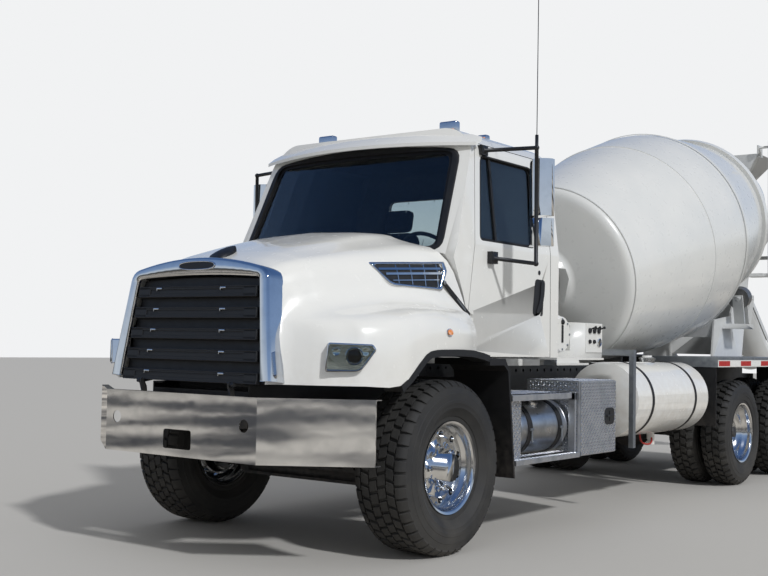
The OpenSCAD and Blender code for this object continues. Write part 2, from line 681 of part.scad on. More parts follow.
// Side view of the cab as (y, z), shrunk by t
module cab_side(t) {
  lean = tan(screen_lean);
  ahead = screen_base_y - 190 + t / cos(screen_lean); // clear of the windscreen's bulging middle
  bend_z = tilt_z + sqrt(pow(seam_r + hood_gap, 2) - pow(hood_rear + hood_gap - tilt_y, 2));
  seam = [for (z = [cab_z + t, bend_z, for (k = [0:2]) seam_z + 50 * k]) [seam_at(hood_gap, z) + t, z, 0]];
  polygon(rounded(concat(seam, [[screen_base_y + 0.9 * t, screen_base_z - 5 + t, 0], [ahead, screen_base_z - 5 + t, 0],
    [ahead + (roof_z + 40 - screen_base_z) * lean, roof_z + 40 - t, 0],
    [900, roof_z + roof_crown - t, 60], [1300, roof_z + roof_crown - t, 60], [cab_rear - t, roof_z + 40 - t, 60],
    [cab_rear - t, cab_z + t, 0]])));
}

// Front view of the cab as (x, z), shrunk by t
module cab_front(t) {
  half = [[roof_half - 130 - t, roof_z + 60 - t, 80], [roof_half - t, roof_z - 60, 40], [cab_half - t, belt_z, 0],
    [cab_half - t, cab_z + t, 0]];
  polygon(rounded(concat([for (i = [3:-1:0]) [-half[i][0], half[i][1], half[i][2]]],
    [[0, roof_z + roof_crown - t, 200]], half)));
}

// Curved front boundary of the cab: a prism that leans with the windscreen
module screen_prism(t) {
  reach = 1150;
  bow = 125; // how far the windscreen's middle stands ahead of its lower corners
  translate([0, screen_base_y, screen_base_z]) rotate([-screen_lean, 0, 0]) linear_extrude(4000, center = true)
    polygon(concat([for (i = [-6:6]) let (x = reach * i / 6)
      [x, screen_r - bow + t - sqrt(screen_r * screen_r - x * x)]], [[reach, 3000], [-reach, 3000]]));
}

module cab_form(t) {
  intersection() {
    side_plate(-1100, 1100) cab_side(t);
    cross_section(-200, 1800) cab_front(t);
    screen_prism(t);
  }
}

// All that lies inside the two side walls grown by g, at any height
module inside_sides(g) {
  top = 3200;
  lean = (cab_half - roof_half) / (roof_z - 60 - belt_z);
  x0 = cab_half - cab_wall + g;
  x1 = x0 - lean * (top - belt_z);
  cross_section(-300, 1900) polygon([[-x0, 0], [x0, 0], [x0, belt_z], [x1, top], [-x1, top], [-x0, belt_z]]);
}

// Space of the two doors in the side walls, shrunk by g
module door_space(g) {
  difference() {
    side_plate(-1200, 1200) door_outline(g);
    inside_sides(g);
  }
}

// Windscreen opening, shrunk by g
module screen_opening(g) {
  cross_section(-400, 700) polygon(rounded([[-890 + g, 1990 + g, 60], [890 - g, 1990 + g, 60], [820 - g, 2730 - g, 70],
    [-820 + g, 2730 - g, 70]]));
}

module rear_window(g) {
  polygon(rounded([[-620 + g, 2120 + g, 50], [620 - g, 2120 + g, 50], [600 - g, 2560 - g, 50], [-600 + g, 2560 - g, 50]]));
}

// Door outline as (y, z), shrunk by g
module door_outline(g) {
  polygon([[412 + g, cab_z - 4 + g], [412 + g, 1600 + g], [600 + g, 2790 - g], [1560 - g, 2790 - g],
    [1580 - g, cab_z - 4 + g]]);
}

module door_window(g) {
  polygon(rounded([[560 + g, 2085 + g, 40], [662 + g, 2700 - g, 60], [1400 - g, 2700 - g, 60],
    [1330 - g, 2085 + g, 50]]));
}

module cab_shell() color("white") {
  difference() {
    cab_form(0);
    cab_form(cab_wall);
    door_space(0);
    // windscreen and rear window
    screen_opening(0);
    cross_section(1500, 1900) rear_window(0);
  }
  // lugs and pins of the door hinges
  both_sides() for (z = hinge_z) {
    block([cab_half - 5, hinge_y - 6, z], [hinge_x + 6, hinge_y + 6, z + 20]);
    rod([hinge_x, hinge_y, z - 30], [hinge_x, hinge_y, z + 50], hinge_r);
  }
  // mounts on the rails
  both_sides() block([rail_half - 80, 500, rail_top], [rail_half, 620, cab_z]);
  both_sides() block([rail_half - 80, 1540, rail_top], [rail_half, 1640, cab_z]);
}

module sun_visor() color("white") difference() {
  intersection() {
    side_plate(-984, 984) polygon([[300, 2742], [300, 2766], [560, 2962], [760, 2978], [760, 2742]]);
    translate([0, 0, 2700]) linear_extrude(300) translate([0, 2480]) circle(r = 2140, $fn = 160);
    cross_section(-200, 800) translate([0, 8]) cab_front(-4);
    translate([-1000, 200, 2600]) cube([2000, 390, 500]);
  }
  cab_form(-seat_gap);
  for (i = [-2:2]) translate([i * 330, 380, 2742]) cube([150, 120, 36], center = true);
}

// Roof and tail lamps: x, y, length, height
lamp_rows = [[584, 790, 200, 72], [640, 1200, 120, 44]];

module lamps() color("gainsboro") {
  both_sides() difference() {
    for (r = lamp_rows) block([r[0] - 45, r[1] - r[2] / 2, roof_z + 40], [r[0] + 45, r[1] + r[2] / 2, roof_z + 80 + r[3]]);
    cab_form(-seat_gap);
  }
  both_sides() for (x = [560, 790, 910])
    translate([x, frame_end + 16 + seat_gap, rail_z]) rotate([-90, 0, 0]) cylinder(r = 50, h = 25);
}

module cab_glass() color("lightblue", 0.4) {
  intersection() {
    difference() {
      screen_prism(20);
      screen_prism(20 + glass_t);
    }
    screen_opening(seat_gap);
  }
  cross_section(cab_rear - 30, cab_rear - 30 + glass_t) rear_window(seat_gap);
}

wheel_x = 420; // steering wheel's place from the middle

module cab_interior() color("dimgray") {
  // dashboard
  side_plate(-900, 900) polygon(rounded([[470, 1700, 30], [470, 1960, 20], [560, 1990, 60], [740, 1900, 60],
    [700, 1700, 40]]));
  block([-900, hood_rear + hood_gap + cab_wall + seat_gap, 1500], [900, 560, 1720]);
  // floor
  block([-940, 460, cab_z + cab_wall], [940, 1640, cab_z + cab_wall + 12]);
  // seat bases
  for (x = [-wheel_x, wheel_x]) block([x - 200, 1020, cab_z + cab_wall], [x + 200, 1460, 1560]);
  // steering column and wheel
  rod([wheel_x, 560, 1800], [wheel_x, 800, 1985], 28);
  translate([wheel_x, 800, 1985]) rotate([-52, 0, 0]) {
    rotate_extrude($fn = 64) translate([225, 0]) circle(r = 15);
    cylinder(r = 45, h = 30, center = true);
    for (a = [90, 210, 330]) rotate([0, 0, a]) translate([0, -12, -8]) cube([222, 24, 12]);
  }
}

module seats() color("slategray") for (x = [-wheel_x, wheel_x]) translate([x, 0, 0]) {
  side_plate(-245, 245) polygon(rounded([[920, 1560 + seat_gap, 40], [920, 1670, 50], [1400, 1650, 20], [1400, 1560 + seat_gap, 10]]));
  side_plate(-235, 235) polygon(rounded([[1362, 1630, 20], [1500, 2300, 40], [1590, 2280, 30], [1500, 1600, 20]]));
  side_plate(-140, 140) polygon(rounded([[1505, 2290, 10], [1535, 2480, 30], [1610, 2465, 30], [1588, 2270, 10]]));
}

module door(side) color("white") mirror([side < 0 ? 1 : 0, 0, 0]) difference() {
  union() {
    intersection() {
      cab_form(0);
      side_plate(600, 1100) square([3000, 4000]);
      door_space(door_gap);
    }
    for (z = hinge_z, k = [-25, 21]) {
      translate([hinge_x, hinge_y, z + k]) cylinder(r = hinge_r + 4, h = 24);
      block([cab_half + 1, hinge_y + 2, z + k], [cab_half + 10, hinge_y + 60, z + k + 24]);
      block([cab_half - 6, hinge_y + 20, z + k], [cab_half + 6, hinge_y + 60, z + k + 24]);
    }
  }
  rod([hinge_x, hinge_y, cab_z], [hinge_x, hinge_y, 1700], hinge_r + fit);
  side_plate(600, 1100) door_window(0);
  // grip recess
  side_plate(cab_half - 20, 1100) polygon(rounded([[1400, 1580, 20], [1455, 1580, 20], [1475, 1850, 20],
    [1425, 1850, 20]]));
}
module door_left() door(1);
module door_right() door(-1);

module door_glass(side) color("lightblue", 0.4) mirror([side < 0 ? 1 : 0, 0, 0]) intersection() {
  difference() {
    cab_form(22);
    cab_form(22 + glass_t);
  }
  side_plate(600, 1100) door_window(seat_gap);
}
module door_glass_left() door_glass(1);
module door_glass_right() door_glass(-1);

mirror_x = 1330;
mirror_y = 800;

module mirror_set() difference() {
  mirror_form();
  cab_form(-seat_gap);
}

module mirror_form() {
  // tube loop
  rod([940, 690, 2735], [mirror_x, mirror_y - 20, 2735], 14);
  rod([mirror_x, mirror_y - 20, 2735], [mirror_x, mirror_y - 10, 1925], 14);
  rod([mirror_x, mirror_y - 10, 1925], [1040, 690, 1965], 14);
  for (p = [[mirror_x, mirror_y - 20, 2735], [mirror_x, mirror_y - 10, 1925]]) translate(p) sphere(r = 19);
  block([cab_half - 10, 650, 1925], [cab_half + 40, 730, 2010]);
  block([925, 650, 2700], [965, 730, 2770]);
  // heads
  translate([mirror_x, mirror_y - 8, 0]) {
    translate([0, 0, 2262]) linear_extrude(400) mirror_plan();
    translate([0, 0, 2050]) linear_extrude(195) mirror_plan();
  }
}

module mirror_plan() {
  intersection() {
    translate([-88, 0]) square([176, 90]);
    scale([1, 1]) translate([0, 90]) circle(r = 96, $fn = 64);
  }
}

module mirror_left() color("silver") {
  mirror_set();
  // whip aerial
  translate([mirror_x, mirror_y - 20, 2735]) cylinder(r = 12, h = 90);
  translate([mirror_x, mirror_y - 20, 2820]) cylinder(r = 3, h = 1150);
}
module mirror_right() color("silver") mirror([1, 0, 0]) mirror_set();

// Sides

step_top = 992;

module cab_steps() color("silver") both_sides() {
  block([rail_half + 300, 700, step_top - 35], [half_width - 10, 1560, step_top]);
  block([1010, 760, 510], [half_width - 10, 1710, 545]);
  block([780, 765, 545], [1150, 930, step_top - 35]);
  for (y = [934, 1600]) block([rail_half, y, step_top - 92], [rail_half + 330, y + 24, step_top - 35]);
}

fuel_x = 925;
fuel_z = 750;

module fuel_tanks() color("silver") both_sides() {
  rod([fuel_x, 962, fuel_z], [fuel_x, 1700, fuel_z], fuel_r);
  for (y = [1200, 1440]) block([rail_half, y, fuel_z - 30], [fuel_x - fuel_r + 20, y + 50, fuel_z + 60]);
}

module strap(x, z, r, y, w) {
  translate([x, y, z]) rotate([-90, 0, 0]) difference() {
    cylinder(r = r + 5, h = w, $fn = 96);
    translate([0, 0, -1]) cylinder(r = r + seat_gap, h = w + 2, $fn = 96);
  }
}

module tank_straps() color("black") {
  both_sides() for (y = [1075, 1525]) strap(fuel_x, fuel_z, fuel_r, y, 60);
  for (y = [3090, 4040]) strap(water_x, water_z, water_r, y, 40);
}

toolbox_y0 = 1725;
toolbox_y1 = 2335;

module toolbox() color("silver") {
  difference() {
    block([740, toolbox_y0, 522], [1194, toolbox_y1, 1095]);
    block([760, toolbox_y0 + 20, 542], [1200, toolbox_y1 - 20, 1075]);
  }
  block([rail_half, toolbox_y0 + 60, 850], [740, toolbox_y0 + 130, 920]);
  block([rail_half, toolbox_y1 - 130, 850], [740, toolbox_y1 - 60, 920]);
  // box of the exhaust cleaner on the other side
  block([-1200, toolbox_y0, 522], [-740, toolbox_y1 + 250, 1095]);
  block([-740, toolbox_y0 + 100, 850], [-rail_half, toolbox_y0 + 200, 920]);
}

module toolbox_door() color("silver") {
  block([1194 + seat_gap, toolbox_y0 + 6, 528], [1210, toolbox_y1 - 6, 1089]);
}

water_x = 868;
water_z = 905;

// Round tank along Y with dished ends
module dished_tank(x, z, r, y0, y1, dish) {
  big = (r * r + dish * dish) / (2 * dish);
  reach = asin(r / big);
  steps = 8;
  cap = [for (i = [0:steps]) let (a = reach * i / steps) [big * sin(a), big * (cos(a) - cos(reach))]];
  translate([x, y0, z]) rotate([-90, 0, 0]) rotate_extrude($fn = 96)
    polygon(concat([for (q = cap) [q[0], -q[1]]], [for (i = [steps:-1:0]) [cap[i][0], y1 - y0 + cap[i][1]]]));
}

module water_tank() color("white") {
  dished_tank(water_x, water_z, water_r, water_y0, water_y1, 70);
  translate([water_x, 3700, water_z + water_r - 10]) cylinder(r = 45, h = 70);
  translate([water_x, 3790, water_z - water_r - 60]) cylinder(r = 35, h = 80);
  for (y = [3170, 3900]) block([rail_half, y, 870], [water_x - 200, y + 60, 940]);
}

module guard_outline() {
  top = cab_z - 8;
  polygon([[hood_rear + hood_gap, top - 45], [hood_rear + hood_gap, top], [600, top], [660, 1180], [752, 437],
    [735, 437], [640, 1175], [585, top - 45]]);
}

module splash_guards() color("black") {
  // behind the front wheels
  both_sides() {
    side_plate(760, half_width - 10) guard_outline();
    block([rail_half, 650, 1060], [780, 690, 1120]);
  }
  // in front of and behind the rear wheels
  both_sides() block([620, 4550, 620], [half_width - 20, 4562, deck_z - 25 - seat_gap]);
  both_sides() block([620, 7400, 330], [half_width - 20, 7412, deck_z - 25 - seat_gap]);
}

deck_y0 = 4544;
deck_y1 = 7560;

// Decks over the rear wheels, with the post by the water tank and the ladder
module rear_decks() color("gainsboro") {
  both_sides() {
    block([rail_half + seat_gap, deck_y0, deck_z - 25], [half_width, deck_y1, deck_z]);
    block([half_width - 6, deck_y0, deck_z - 97], [half_width, deck_y1, deck_z - 25]);
    block([rail_half + seat_gap, deck_y0, deck_z - 97], [half_width - 6, deck_y0 + 6 - seat_gap, deck_z - 25]);
    for (y = [5920, 7500]) block([rail_half + seat_gap, y, deck_z - 100], [half_width - 6, y + 40, deck_z - 25]);
  }
  // post in front of the water tank
  block([half_width - 40, 2640, 530], [half_width, 2690, 1340]);
  block([rail_half, 2640, 1290], [half_width - 40, 2690, 1340]);
  block([rail_half - 50, 2640, subframe_top], [rail_half + 50, 2690, 1290]);
  // ladder behind the rear bar, steadied by the post of the hopper
  for (x = ladder_x) rod([x, ladder_y, 560], [x, ladder_y, 2900], 18);
  for (i = [0:7]) rod([ladder_x[0], ladder_y, 640 + i * 300], [ladder_x[1], ladder_y, 640 + i * 300], 14);
  for (x = ladder_x) rod([x, deck_y1 + seat_gap, deck_z - 12], [x, ladder_y, deck_z - 12], 12);
  rod([ladder_x[1], ladder_y, 2600], [ladder_x[1], post_y, 2600], 14);
}

// Mixer

module front_pedestal() color("white") {
  // feet on the subframe and the pedestal
  both_sides() side_plate(rail_half - 80, rail_half - 60) polygon([[2700, subframe_top], [3340, subframe_top],
    [3160, 1560], [2760, 1560]]);
  block([-rail_half + 60, 2760, 1540], [rail_half - 60, 3160, 1562]);
  both_sides() block([rail_half - 160, 2700, subframe_top], [rail_half, 3400, subframe_top + 20]);
  // cradle of the gearbox
  difference() {
    block([-180, 2905, 1562], [180, 3130, 1780]);
    on_drum_axis(-1210) cylinder(r = 210 + seat_gap, h = 500);
  }
  // bench with the oil tank and the control box behind the cab
  both_sides() block([rail_half - 80, 1780, subframe_top], [rail_half, 2480, subframe_top + 60]);
  block([-960, 1800, subframe_top + 60], [960, 1990, subframe_top + 76]);
  block([620, 1990, subframe_top + 60], [960, 2620, subframe_top + 76]);
  rod([-760, 1880, 1452], [920, 1880, 1452], 150);
  rod([920, 1880, 1452], [945, 1880, 1452], 140);
  for (x = [-600, 500]) block([x, 1810, subframe_top + 76], [x + 60, 1950, 1330]);
  block([640, 2120, subframe_top + 76], [950, 2600, 1552]);
}

module drum_gearbox() color("gray") on_drum_axis(-1190) {
  cylinder(r = 210, h = 380);
  translate([0, 0, 380]) cylinder(r = 150, h = 28);
  translate([0, 0, -260]) cylinder(r = 110, h = 262);
}

// Drum profile: distance along the axis, radius, roundness of the corner
drum_rows = [[-760, 300, 0], [-690, 640, 120], [-640, 850, 60], [-520, 884, 60], [823, drum_max_r - 50, 200],
  [1593, drum_max_r, 200], [2740, 930, 100], [4050, 550, 40]];

function drum_outline() = let (r = rounded([for (q = drum_rows) [q[1], q[0], q[2]]]))
  r;
function thin(p, t) = [for (i = [0:len(p) - 1])
  let (d = unit(p[min(i + 1, len(p) - 1)] - p[max(i - 1, 0)])) p[i] + t * [-d[1], d[0]]];

module drum_shell() color("white") on_drum_axis(0) {
  out = drum_outline();
  in = thin(out, drum_wall);
  rotate_extrude($fn = 120) polygon(concat(out, [for (i = [len(in) - 1:-1:0]) in[i]]));
  // front flange plate
  translate([0, 0, -782]) cylinder(r = 302, h = 26);
  // track ring
  translate([0, 0, 2797 - ring_w / 2]) difference() {
    cylinder(r = ring_r, h = ring_w, $fn = 120);
    translate([0, 0, -1]) cylinder(r = ring_r - 40, h = ring_w + 2, $fn = 120);
  }
}

// Spiral fins inside the drum: n steps, radius of the shell at s
function drum_r_at(s) = lookup(s, [for (q = drum_rows) [q[0], q[1]]]) - drum_wall - 2;

module drum_fin(start) {
  n = 60;
  s0 = -450;
  s1 = 3900;
  function fin_pt(i, k) = let (t = i / n, s = s0 + (s1 - s0) * t, a = start + 360 * fin_turns * t,
    r1 = drum_r_at(s) + 2, h = fin_h * (1 - 0.45 * t), r = (k < 2 ? r1 : r1 - h), w = (k == 0 || k == 3) ? -4 : 4)
    [r * cos(a), r * sin(a), s + w];
  pts = [for (i = [0:n]) for (k = [0:3]) fin_pt(i, k)];
  faces = concat([for (i = [0:n - 1]) for (k = [0:3]) let (a = i * 4 + k, b = i * 4 + (k + 1) % 4)
    each [[a, a + 4, b + 4], [a, b + 4, b]]], [[0, 1, 2], [0, 2, 3]],
    [[n * 4, n * 4 + 2, n * 4 + 1], [n * 4, n * 4 + 3, n * 4 + 2]]);
  polyhedron(points = pts, faces = [for (f = faces) [f[0], f[2], f[1]]]);
}

module drum_fins() color("silver") on_drum_axis(0) for (a = [0, 180]) drum_fin(a);

roller_d = ring_r + roller_gap + roller_r; // distance of a roller's axis from the drum's axis

module roller(side) color("gray") on_drum_axis(2797)
  translate([side * roller_d * sin(roller_angle), roller_d * cos(roller_angle), -ring_w / 2 - 10]) difference() {
    cylinder(r = roller_r, h = ring_w + 20);
    translate([0, 0, -1]) cylinder(r = 30 + fit, h = ring_w + 22);
  }
module roller_left() roller(1);
module roller_right() roller(-1);

module rear_pedestal() color("gainsboro") {
  both_sides() {
    // webs on the subframe
    side_plate(400, 420) polygon([[6480, subframe_top], [7440, subframe_top], [7700, 2300], [7560, 2420],
      [7060, 1760], [6560, 1700]]);
    block([rail_half - 100, 6480, subframe_top], [rail_half, 7440, subframe_top + 20]);
    // roller shelves
    block([400, 6800, 1605], [700, 7060, 1660]);
    // posts up to the hopper
    difference() {
      block([post_x, post_y - 40, 2300], [post_x + 40, post_y + 40, hopper_pin_z + 60]);
      rod([post_x - 10, post_y, hopper_pin_z], [post_x + 50, post_y, hopper_pin_z], pin_r + fit);
    }
    block([400, post_y - 170, 2260], [post_x - 20, post_y + 40, 2300]);
    block([post_x - 30, post_y - 120, 2260], [post_x + 40, post_y + 40, 2300]);
    // collector's brackets
    block([336, post_y + 20, 2480], [post_x + 10, post_y + 70, 2520]);
    block([post_x, post_y - 40, 2480], [post_x + 40, post_y + 70, 2520]);
  }
  // cross plates
  block([-400, 6560, 1500], [400, 6580, 1690]);
  block([-400, 7300, 1300], [400, 7320, 1900]);
  // brackets and pins of the rollers
  for (side = [-1, 1]) on_drum_axis(2797) translate([side * roller_d * sin(roller_angle),
      roller_d * cos(roller_angle), 0]) {
    translate([0, 0, -ring_w / 2 - 40]) cylinder(r = 30, h = ring_w + 80);
    for (z = [-ring_w / 2 - 36, ring_w / 2 + 14]) translate([-60, -40, z]) cube([120, 385, 22]);
  }
  // arm of the turret
  block([-60, 7320, 1440], [60, turret_y + 60, 1500]);
  block([-60, 7320, 1440], [60, 7900, 1640]);
  translate([0, turret_y, 1500]) cylinder(r = 60, h = 122 - seat_gap);
  translate([0, turret_y, 1600]) cylinder(r = 40, h = 60);
  collector();
}

// Funnel under the drum's mouth
module collector() {
  difference() {
    translate([0, 8040, 2280]) cylinder(r1 = 250, r2 = 570, h = 560);
    translate([0, 8040, 2275]) cylinder(r1 = 237, r2 = 565, h = 574);
    block([-700, 7300, 2200], [700, 7880, 2900]);
  }
}

// Hopper: outlet in the drum's mouth and rim above it, as (half width, front y, rear y, z)
hopper_rim = [480, 7850, 8520, 3800];
hopper_outlet = [200, 7790, 7990, 3300];

module hopper_block(g, drop) {
  hull() {
    block([-hopper_rim[0] + g, hopper_rim[1] + g, hopper_rim[3] + drop],
      [hopper_rim[0] - g, hopper_rim[2] - g, hopper_rim[3] + drop + 4]);
    block([-hopper_outlet[0] + g, hopper_outlet[1] + g, hopper_outlet[3] - drop],
      [hopper_outlet[0] - g, hopper_outlet[2] - g, hopper_outlet[3] - drop + 4]);
  }
}

module charge_hopper() color("gainsboro") {
  difference() {
    hopper_block(0, 0);
    hopper_block(6, 3);
  }
  // ears with the pins that turn in the posts
  both_sides() {
    block([hopper_rim[0] - 4, post_y + 30, hopper_rim[3] - 40], [hopper_rim[0] + 16, post_y + 130, hopper_rim[3] + 4]);
    block([hopper_rim[0], post_y - 30, hopper_rim[3]], [hopper_rim[0] + 16, post_y + 130, hopper_pin_z + 30]);
    rod([hopper_rim[0] + 8, post_y, hopper_pin_z], [post_x + 50, post_y, hopper_pin_z], pin_r);
  }
}

ear_x = chute_r + 30; // inner face of the turret's ears

module chute_turret() color("gray") difference() {
  union() {
    translate([0, turret_y, 1622]) cylinder(r = 90, h = 38);
    block([-ear_x - 20, turret_y - 60, 1660], [ear_x + 20, turret_y + 60, 1690]);
    both_sides() side_plate(ear_x, ear_x + 20) polygon([[turret_y - 60, 1660], [turret_y + 60, 1660],
      [chute_pivot_y + 45, chute_pivot_z - 20], [chute_pivot_y + 45, chute_pivot_z + 45],
      [chute_pivot_y - 45, chute_pivot_z + 45], [turret_y - 60, 1780]]);
    // lugs of the cylinder's foot
    both_sides() side_plate(38, 54) polygon([[turret_y + 40, 1690], [turret_y + 40, 1660], [foot_y - 20, foot_z - 26],
      [foot_y + 26, foot_z - 26], [foot_y + 26, foot_z + 26], [foot_y - 20, 1690]]);
    rod([-60, foot_y, foot_z], [60, foot_y, foot_z], 14);
  }
  translate([0, turret_y, 1600]) cylinder(r = 40 + fit, h = 100);
  rod([-ear_x - 30, chute_pivot_y, chute_pivot_z], [ear_x + 30, chute_pivot_y, chute_pivot_z], 16 + fit);
}

foot_y = turret_y + 140; // pin of the lift cylinder on the turret
foot_z = 1620;
eye_len = 750; // rod's eye on the main chute, from the chute's pivot
eye_drop = 80; // and below its trough
eye_y = chute_pivot_y + eye_len * cos(chute_slope) - (chute_r + eye_drop) * sin(chute_slope);
eye_z = chute_pivot_z - eye_len * sin(chute_slope) - (chute_r + eye_drop) * cos(chute_slope);
barrel_len = 300;
fold_axis_y = chute_len - 5;

// Trough of a chute along +Y, open on top
module trough(y0, y1) {
  translate([0, y0, 0]) rotate([-90, 0, 0]) difference() {
    cylinder(r = chute_r, h = y1 - y0);
    translate([0, 0, -1]) cylinder(r = chute_r - chute_wall, h = y1 - y0 + 2);
    translate([-chute_r - 10, -chute_r - 10, -1]) cube([2 * chute_r + 20, chute_r + 10, y1 - y0 + 2]);
  }
}

// Moves to the main chute's pivot, with Y down the chute
module on_chute() {
  translate([0, chute_pivot_y, chute_pivot_z]) rotate([-chute_slope, 0, 0]) children();
}

module main_chute() color("gray") on_chute() {
  trough(-100, chute_len);
  for (side = [-1, 1]) {
    rod([side * (chute_r - 4), 0, -8], [side * (chute_r + 12), 0, -8], 26);
    rod([side * (chute_r - 4), 0, 0], [side * (ear_x + 24), 0, 0], 16);
    // ears of the fold-over chute
    translate([side * (chute_r + 5), 0, 0]) mirror([side < 0 ? 1 : 0, 0, 0]) side_plate(-9, 3)
      polygon([[fold_axis_y - 40, -60], [fold_axis_y + 5, -60], [fold_axis_y + 5, 0], [fold_axis_y + 16, 6],
        [fold_axis_y + 16, 28], [fold_axis_y - 16, 28]]);
    rod([side * (chute_r + 2), fold_axis_y, 15], [side * (chute_r + 30), fold_axis_y, 15], 8);
  }
  // lug of the cylinder
  side_plate(-10, 10) polygon([[eye_len - 60, -chute_r + 1], [eye_len + 60, -chute_r + 1],
    [eye_len + 14, -chute_r - eye_drop - 14], [eye_len - 14, -chute_r - eye_drop - 14]]);
  rod([-42, eye_len, -chute_r - eye_drop], [42, eye_len, -chute_r - eye_drop], 9);
}

module fold_chute() color("gray") on_chute() difference() {
  union() {
    translate([0, 0, fold_lift]) mirror([0, 0, 1]) trough(chute_len - fold_len - 20, chute_len - 20);
    for (side = [-1, 1]) mirror([side < 0 ? 1 : 0, 0, 0]) {
      side_plate(chute_r + 10, chute_r + 22) polygon([[fold_axis_y - 90, 36], [fold_axis_y - 60, 70],
        [fold_axis_y - 15, 60], [fold_axis_y + 16, 20], [fold_axis_y + 8, 0], [fold_axis_y - 14, 2]]);
      block([chute_r - 3, fold_axis_y - 80, 40], [chute_r + 12, fold_axis_y - 30, 56]);
    }
  }
  rod([-chute_r - 40, fold_axis_y, 15], [chute_r + 40, fold_axis_y, 15], 8 + fit);
}

// Lift cylinder between the turret's foot and the main chute's lug, drawn along +Z from its foot
module on_cylinder() {
  v = [0, eye_y - foot_y, eye_z - foot_z];
  translate([0, foot_y, foot_z]) rotate([-atan2(v[1], v[2]), 0, 0]) children();
}
cylinder_now = norm([eye_y - foot_y, eye_z - foot_z]);

module cylinder_barrel() color("gray") on_cylinder() difference() {
  union() {
    cylinder(r = 34, h = barrel_len);
    rotate([0, 90, 0]) cylinder(r = 34, h = 68, center = true);
  }
  rotate([0, 90, 0]) cylinder(r = 14 + fit, h = 80, center = true);
  translate([0, 0, 40]) cylinder(r = 20 + fit, h = barrel_len);
}

module cylinder_rod() color("silver") on_cylinder() difference() {
  union() {
    translate([0, 0, 50]) cylinder(r = 20, h = cylinder_now - 50 - 44);
    // fork round the lug
    translate([-38, -40, cylinder_now - 60]) cube([76, 80, 16]);
    for (x = [-38, 24]) translate([x, 0, cylinder_now]) rotate([0, 90, 0]) cylinder(r = 40, h = 14);
    for (x = [-38, 24]) translate([x, -40, cylinder_now - 60]) cube([14, 80, 60]);
  }
  translate([-50, 0, cylinder_now]) rotate([0, 90, 0]) cylinder(r = 26, h = 100);
}

placed() frame_rails();
placed() front_bumper();
placed() engine_block();
placed() front_axle();
placed() rear_axles();
placed() cab_shell();
placed() sun_visor();
placed() lamps();
placed() cab_glass();
placed() cab_interior();
placed() seats();
placed() cab_steps();
placed() fuel_tanks();
placed() tank_straps();
placed() toolbox();
placed() water_tank();
placed() splash_guards();
placed() front_pedestal();
placed() drum_gearbox();
placed() rear_pedestal();
placed() rear_decks();
placed() hood();
placed() hood_frame();
placed() wheel_flares();
placed() grille_surround();
placed() grille_bars();
placed() headlamps();
placed() side_vents();
placed() door_left();
placed() door_right();
placed() door_glass_left();
placed() door_glass_right();
placed() mirror_left();
placed() mirror_right();
placed() toolbox_door();
placed() knuckle_left();
placed() knuckle_right();
placed() tie_rod();
placed() front_tyre_left();
placed() front_tyre_right();
placed() front_rim_left();
placed() front_rim_right();
placed() rear_tyres_1_left();
placed() rear_tyres_1_right();
placed() rear_tyres_2_left();
placed() rear_tyres_2_right();
placed() rear_rims_1_left();
placed() rear_rims_1_right();
placed() rear_rims_2_left();
placed() rear_rims_2_right();
placed() drum_shell();
placed() drum_fins();
placed() roller_left();
placed() roller_right();
placed() charge_hopper();
placed() chute_turret();
placed() main_chute();
placed() fold_chute();
placed() cylinder_barrel();
placed() cylinder_rod();
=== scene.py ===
import json
import math
from contextlib import contextmanager

import bmesh
import bpy
from mathutils import Matrix, Vector


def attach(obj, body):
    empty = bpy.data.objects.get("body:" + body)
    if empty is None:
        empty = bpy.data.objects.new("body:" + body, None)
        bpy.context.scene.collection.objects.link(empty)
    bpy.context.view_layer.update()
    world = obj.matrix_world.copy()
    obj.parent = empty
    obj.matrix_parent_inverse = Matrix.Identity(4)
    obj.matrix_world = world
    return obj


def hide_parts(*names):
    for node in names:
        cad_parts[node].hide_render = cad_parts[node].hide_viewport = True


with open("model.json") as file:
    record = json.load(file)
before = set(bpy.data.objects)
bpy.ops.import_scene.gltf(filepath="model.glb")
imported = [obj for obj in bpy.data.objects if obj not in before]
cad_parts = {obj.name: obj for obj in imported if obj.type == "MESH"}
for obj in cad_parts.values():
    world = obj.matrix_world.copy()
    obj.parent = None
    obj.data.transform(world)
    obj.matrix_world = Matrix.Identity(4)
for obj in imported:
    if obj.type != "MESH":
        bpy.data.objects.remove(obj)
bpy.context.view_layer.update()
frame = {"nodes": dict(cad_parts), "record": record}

midY = 3.986418  # metres from the front axle to the truck's middle
sides = (("left", 1), ("right", -1))
xAxis, yAxis, zAxis = (1, 0, 0), (0, 1, 0), (0, 0, 1)
scene = bpy.context.scene
print("frame loaded")


def at(x, y, z):  # a place in mm from the ground under the front axle, as metres in the frame
    return Vector((x / 1000, y / 1000 - midY, z / 1000))


def inMm(point):  # the way back
    return (point + Vector((0, midY, 0))) * 1000


# Camera at the photograph's place and lens
view = {"focalPixels": 1139, "imageWidth": 768, "yaw": 36.95, "pitch": 2.83, "roll": 1.12,
        "place": (5234, -6150, 1345)}
camera = bpy.data.objects.new("camera", bpy.data.cameras.new("camera"))
scene.collection.objects.link(camera)
scene.camera = camera
camera.data.sensor_width = 36
camera.data.lens = 36 * view["focalPixels"] / view["imageWidth"]
camera.data.clip_end = 200
yaw, pitch, roll = (math.radians(view[k]) for k in ("yaw", "pitch", "roll"))
ahead = Vector((-math.sin(yaw) * math.cos(pitch), math.cos(yaw) * math.cos(pitch), math.sin(pitch)))
right = ahead.cross(Vector(zAxis)).normalized()
upward = right.cross(ahead)
turnedRight = right * math.cos(roll) + upward * math.sin(roll)
turnedUp = upward * math.cos(roll) - right * math.sin(roll)
camera.matrix_world = Matrix((turnedRight, turnedUp, -ahead)).transposed().to_4x4()
camera.location = at(*view["place"])

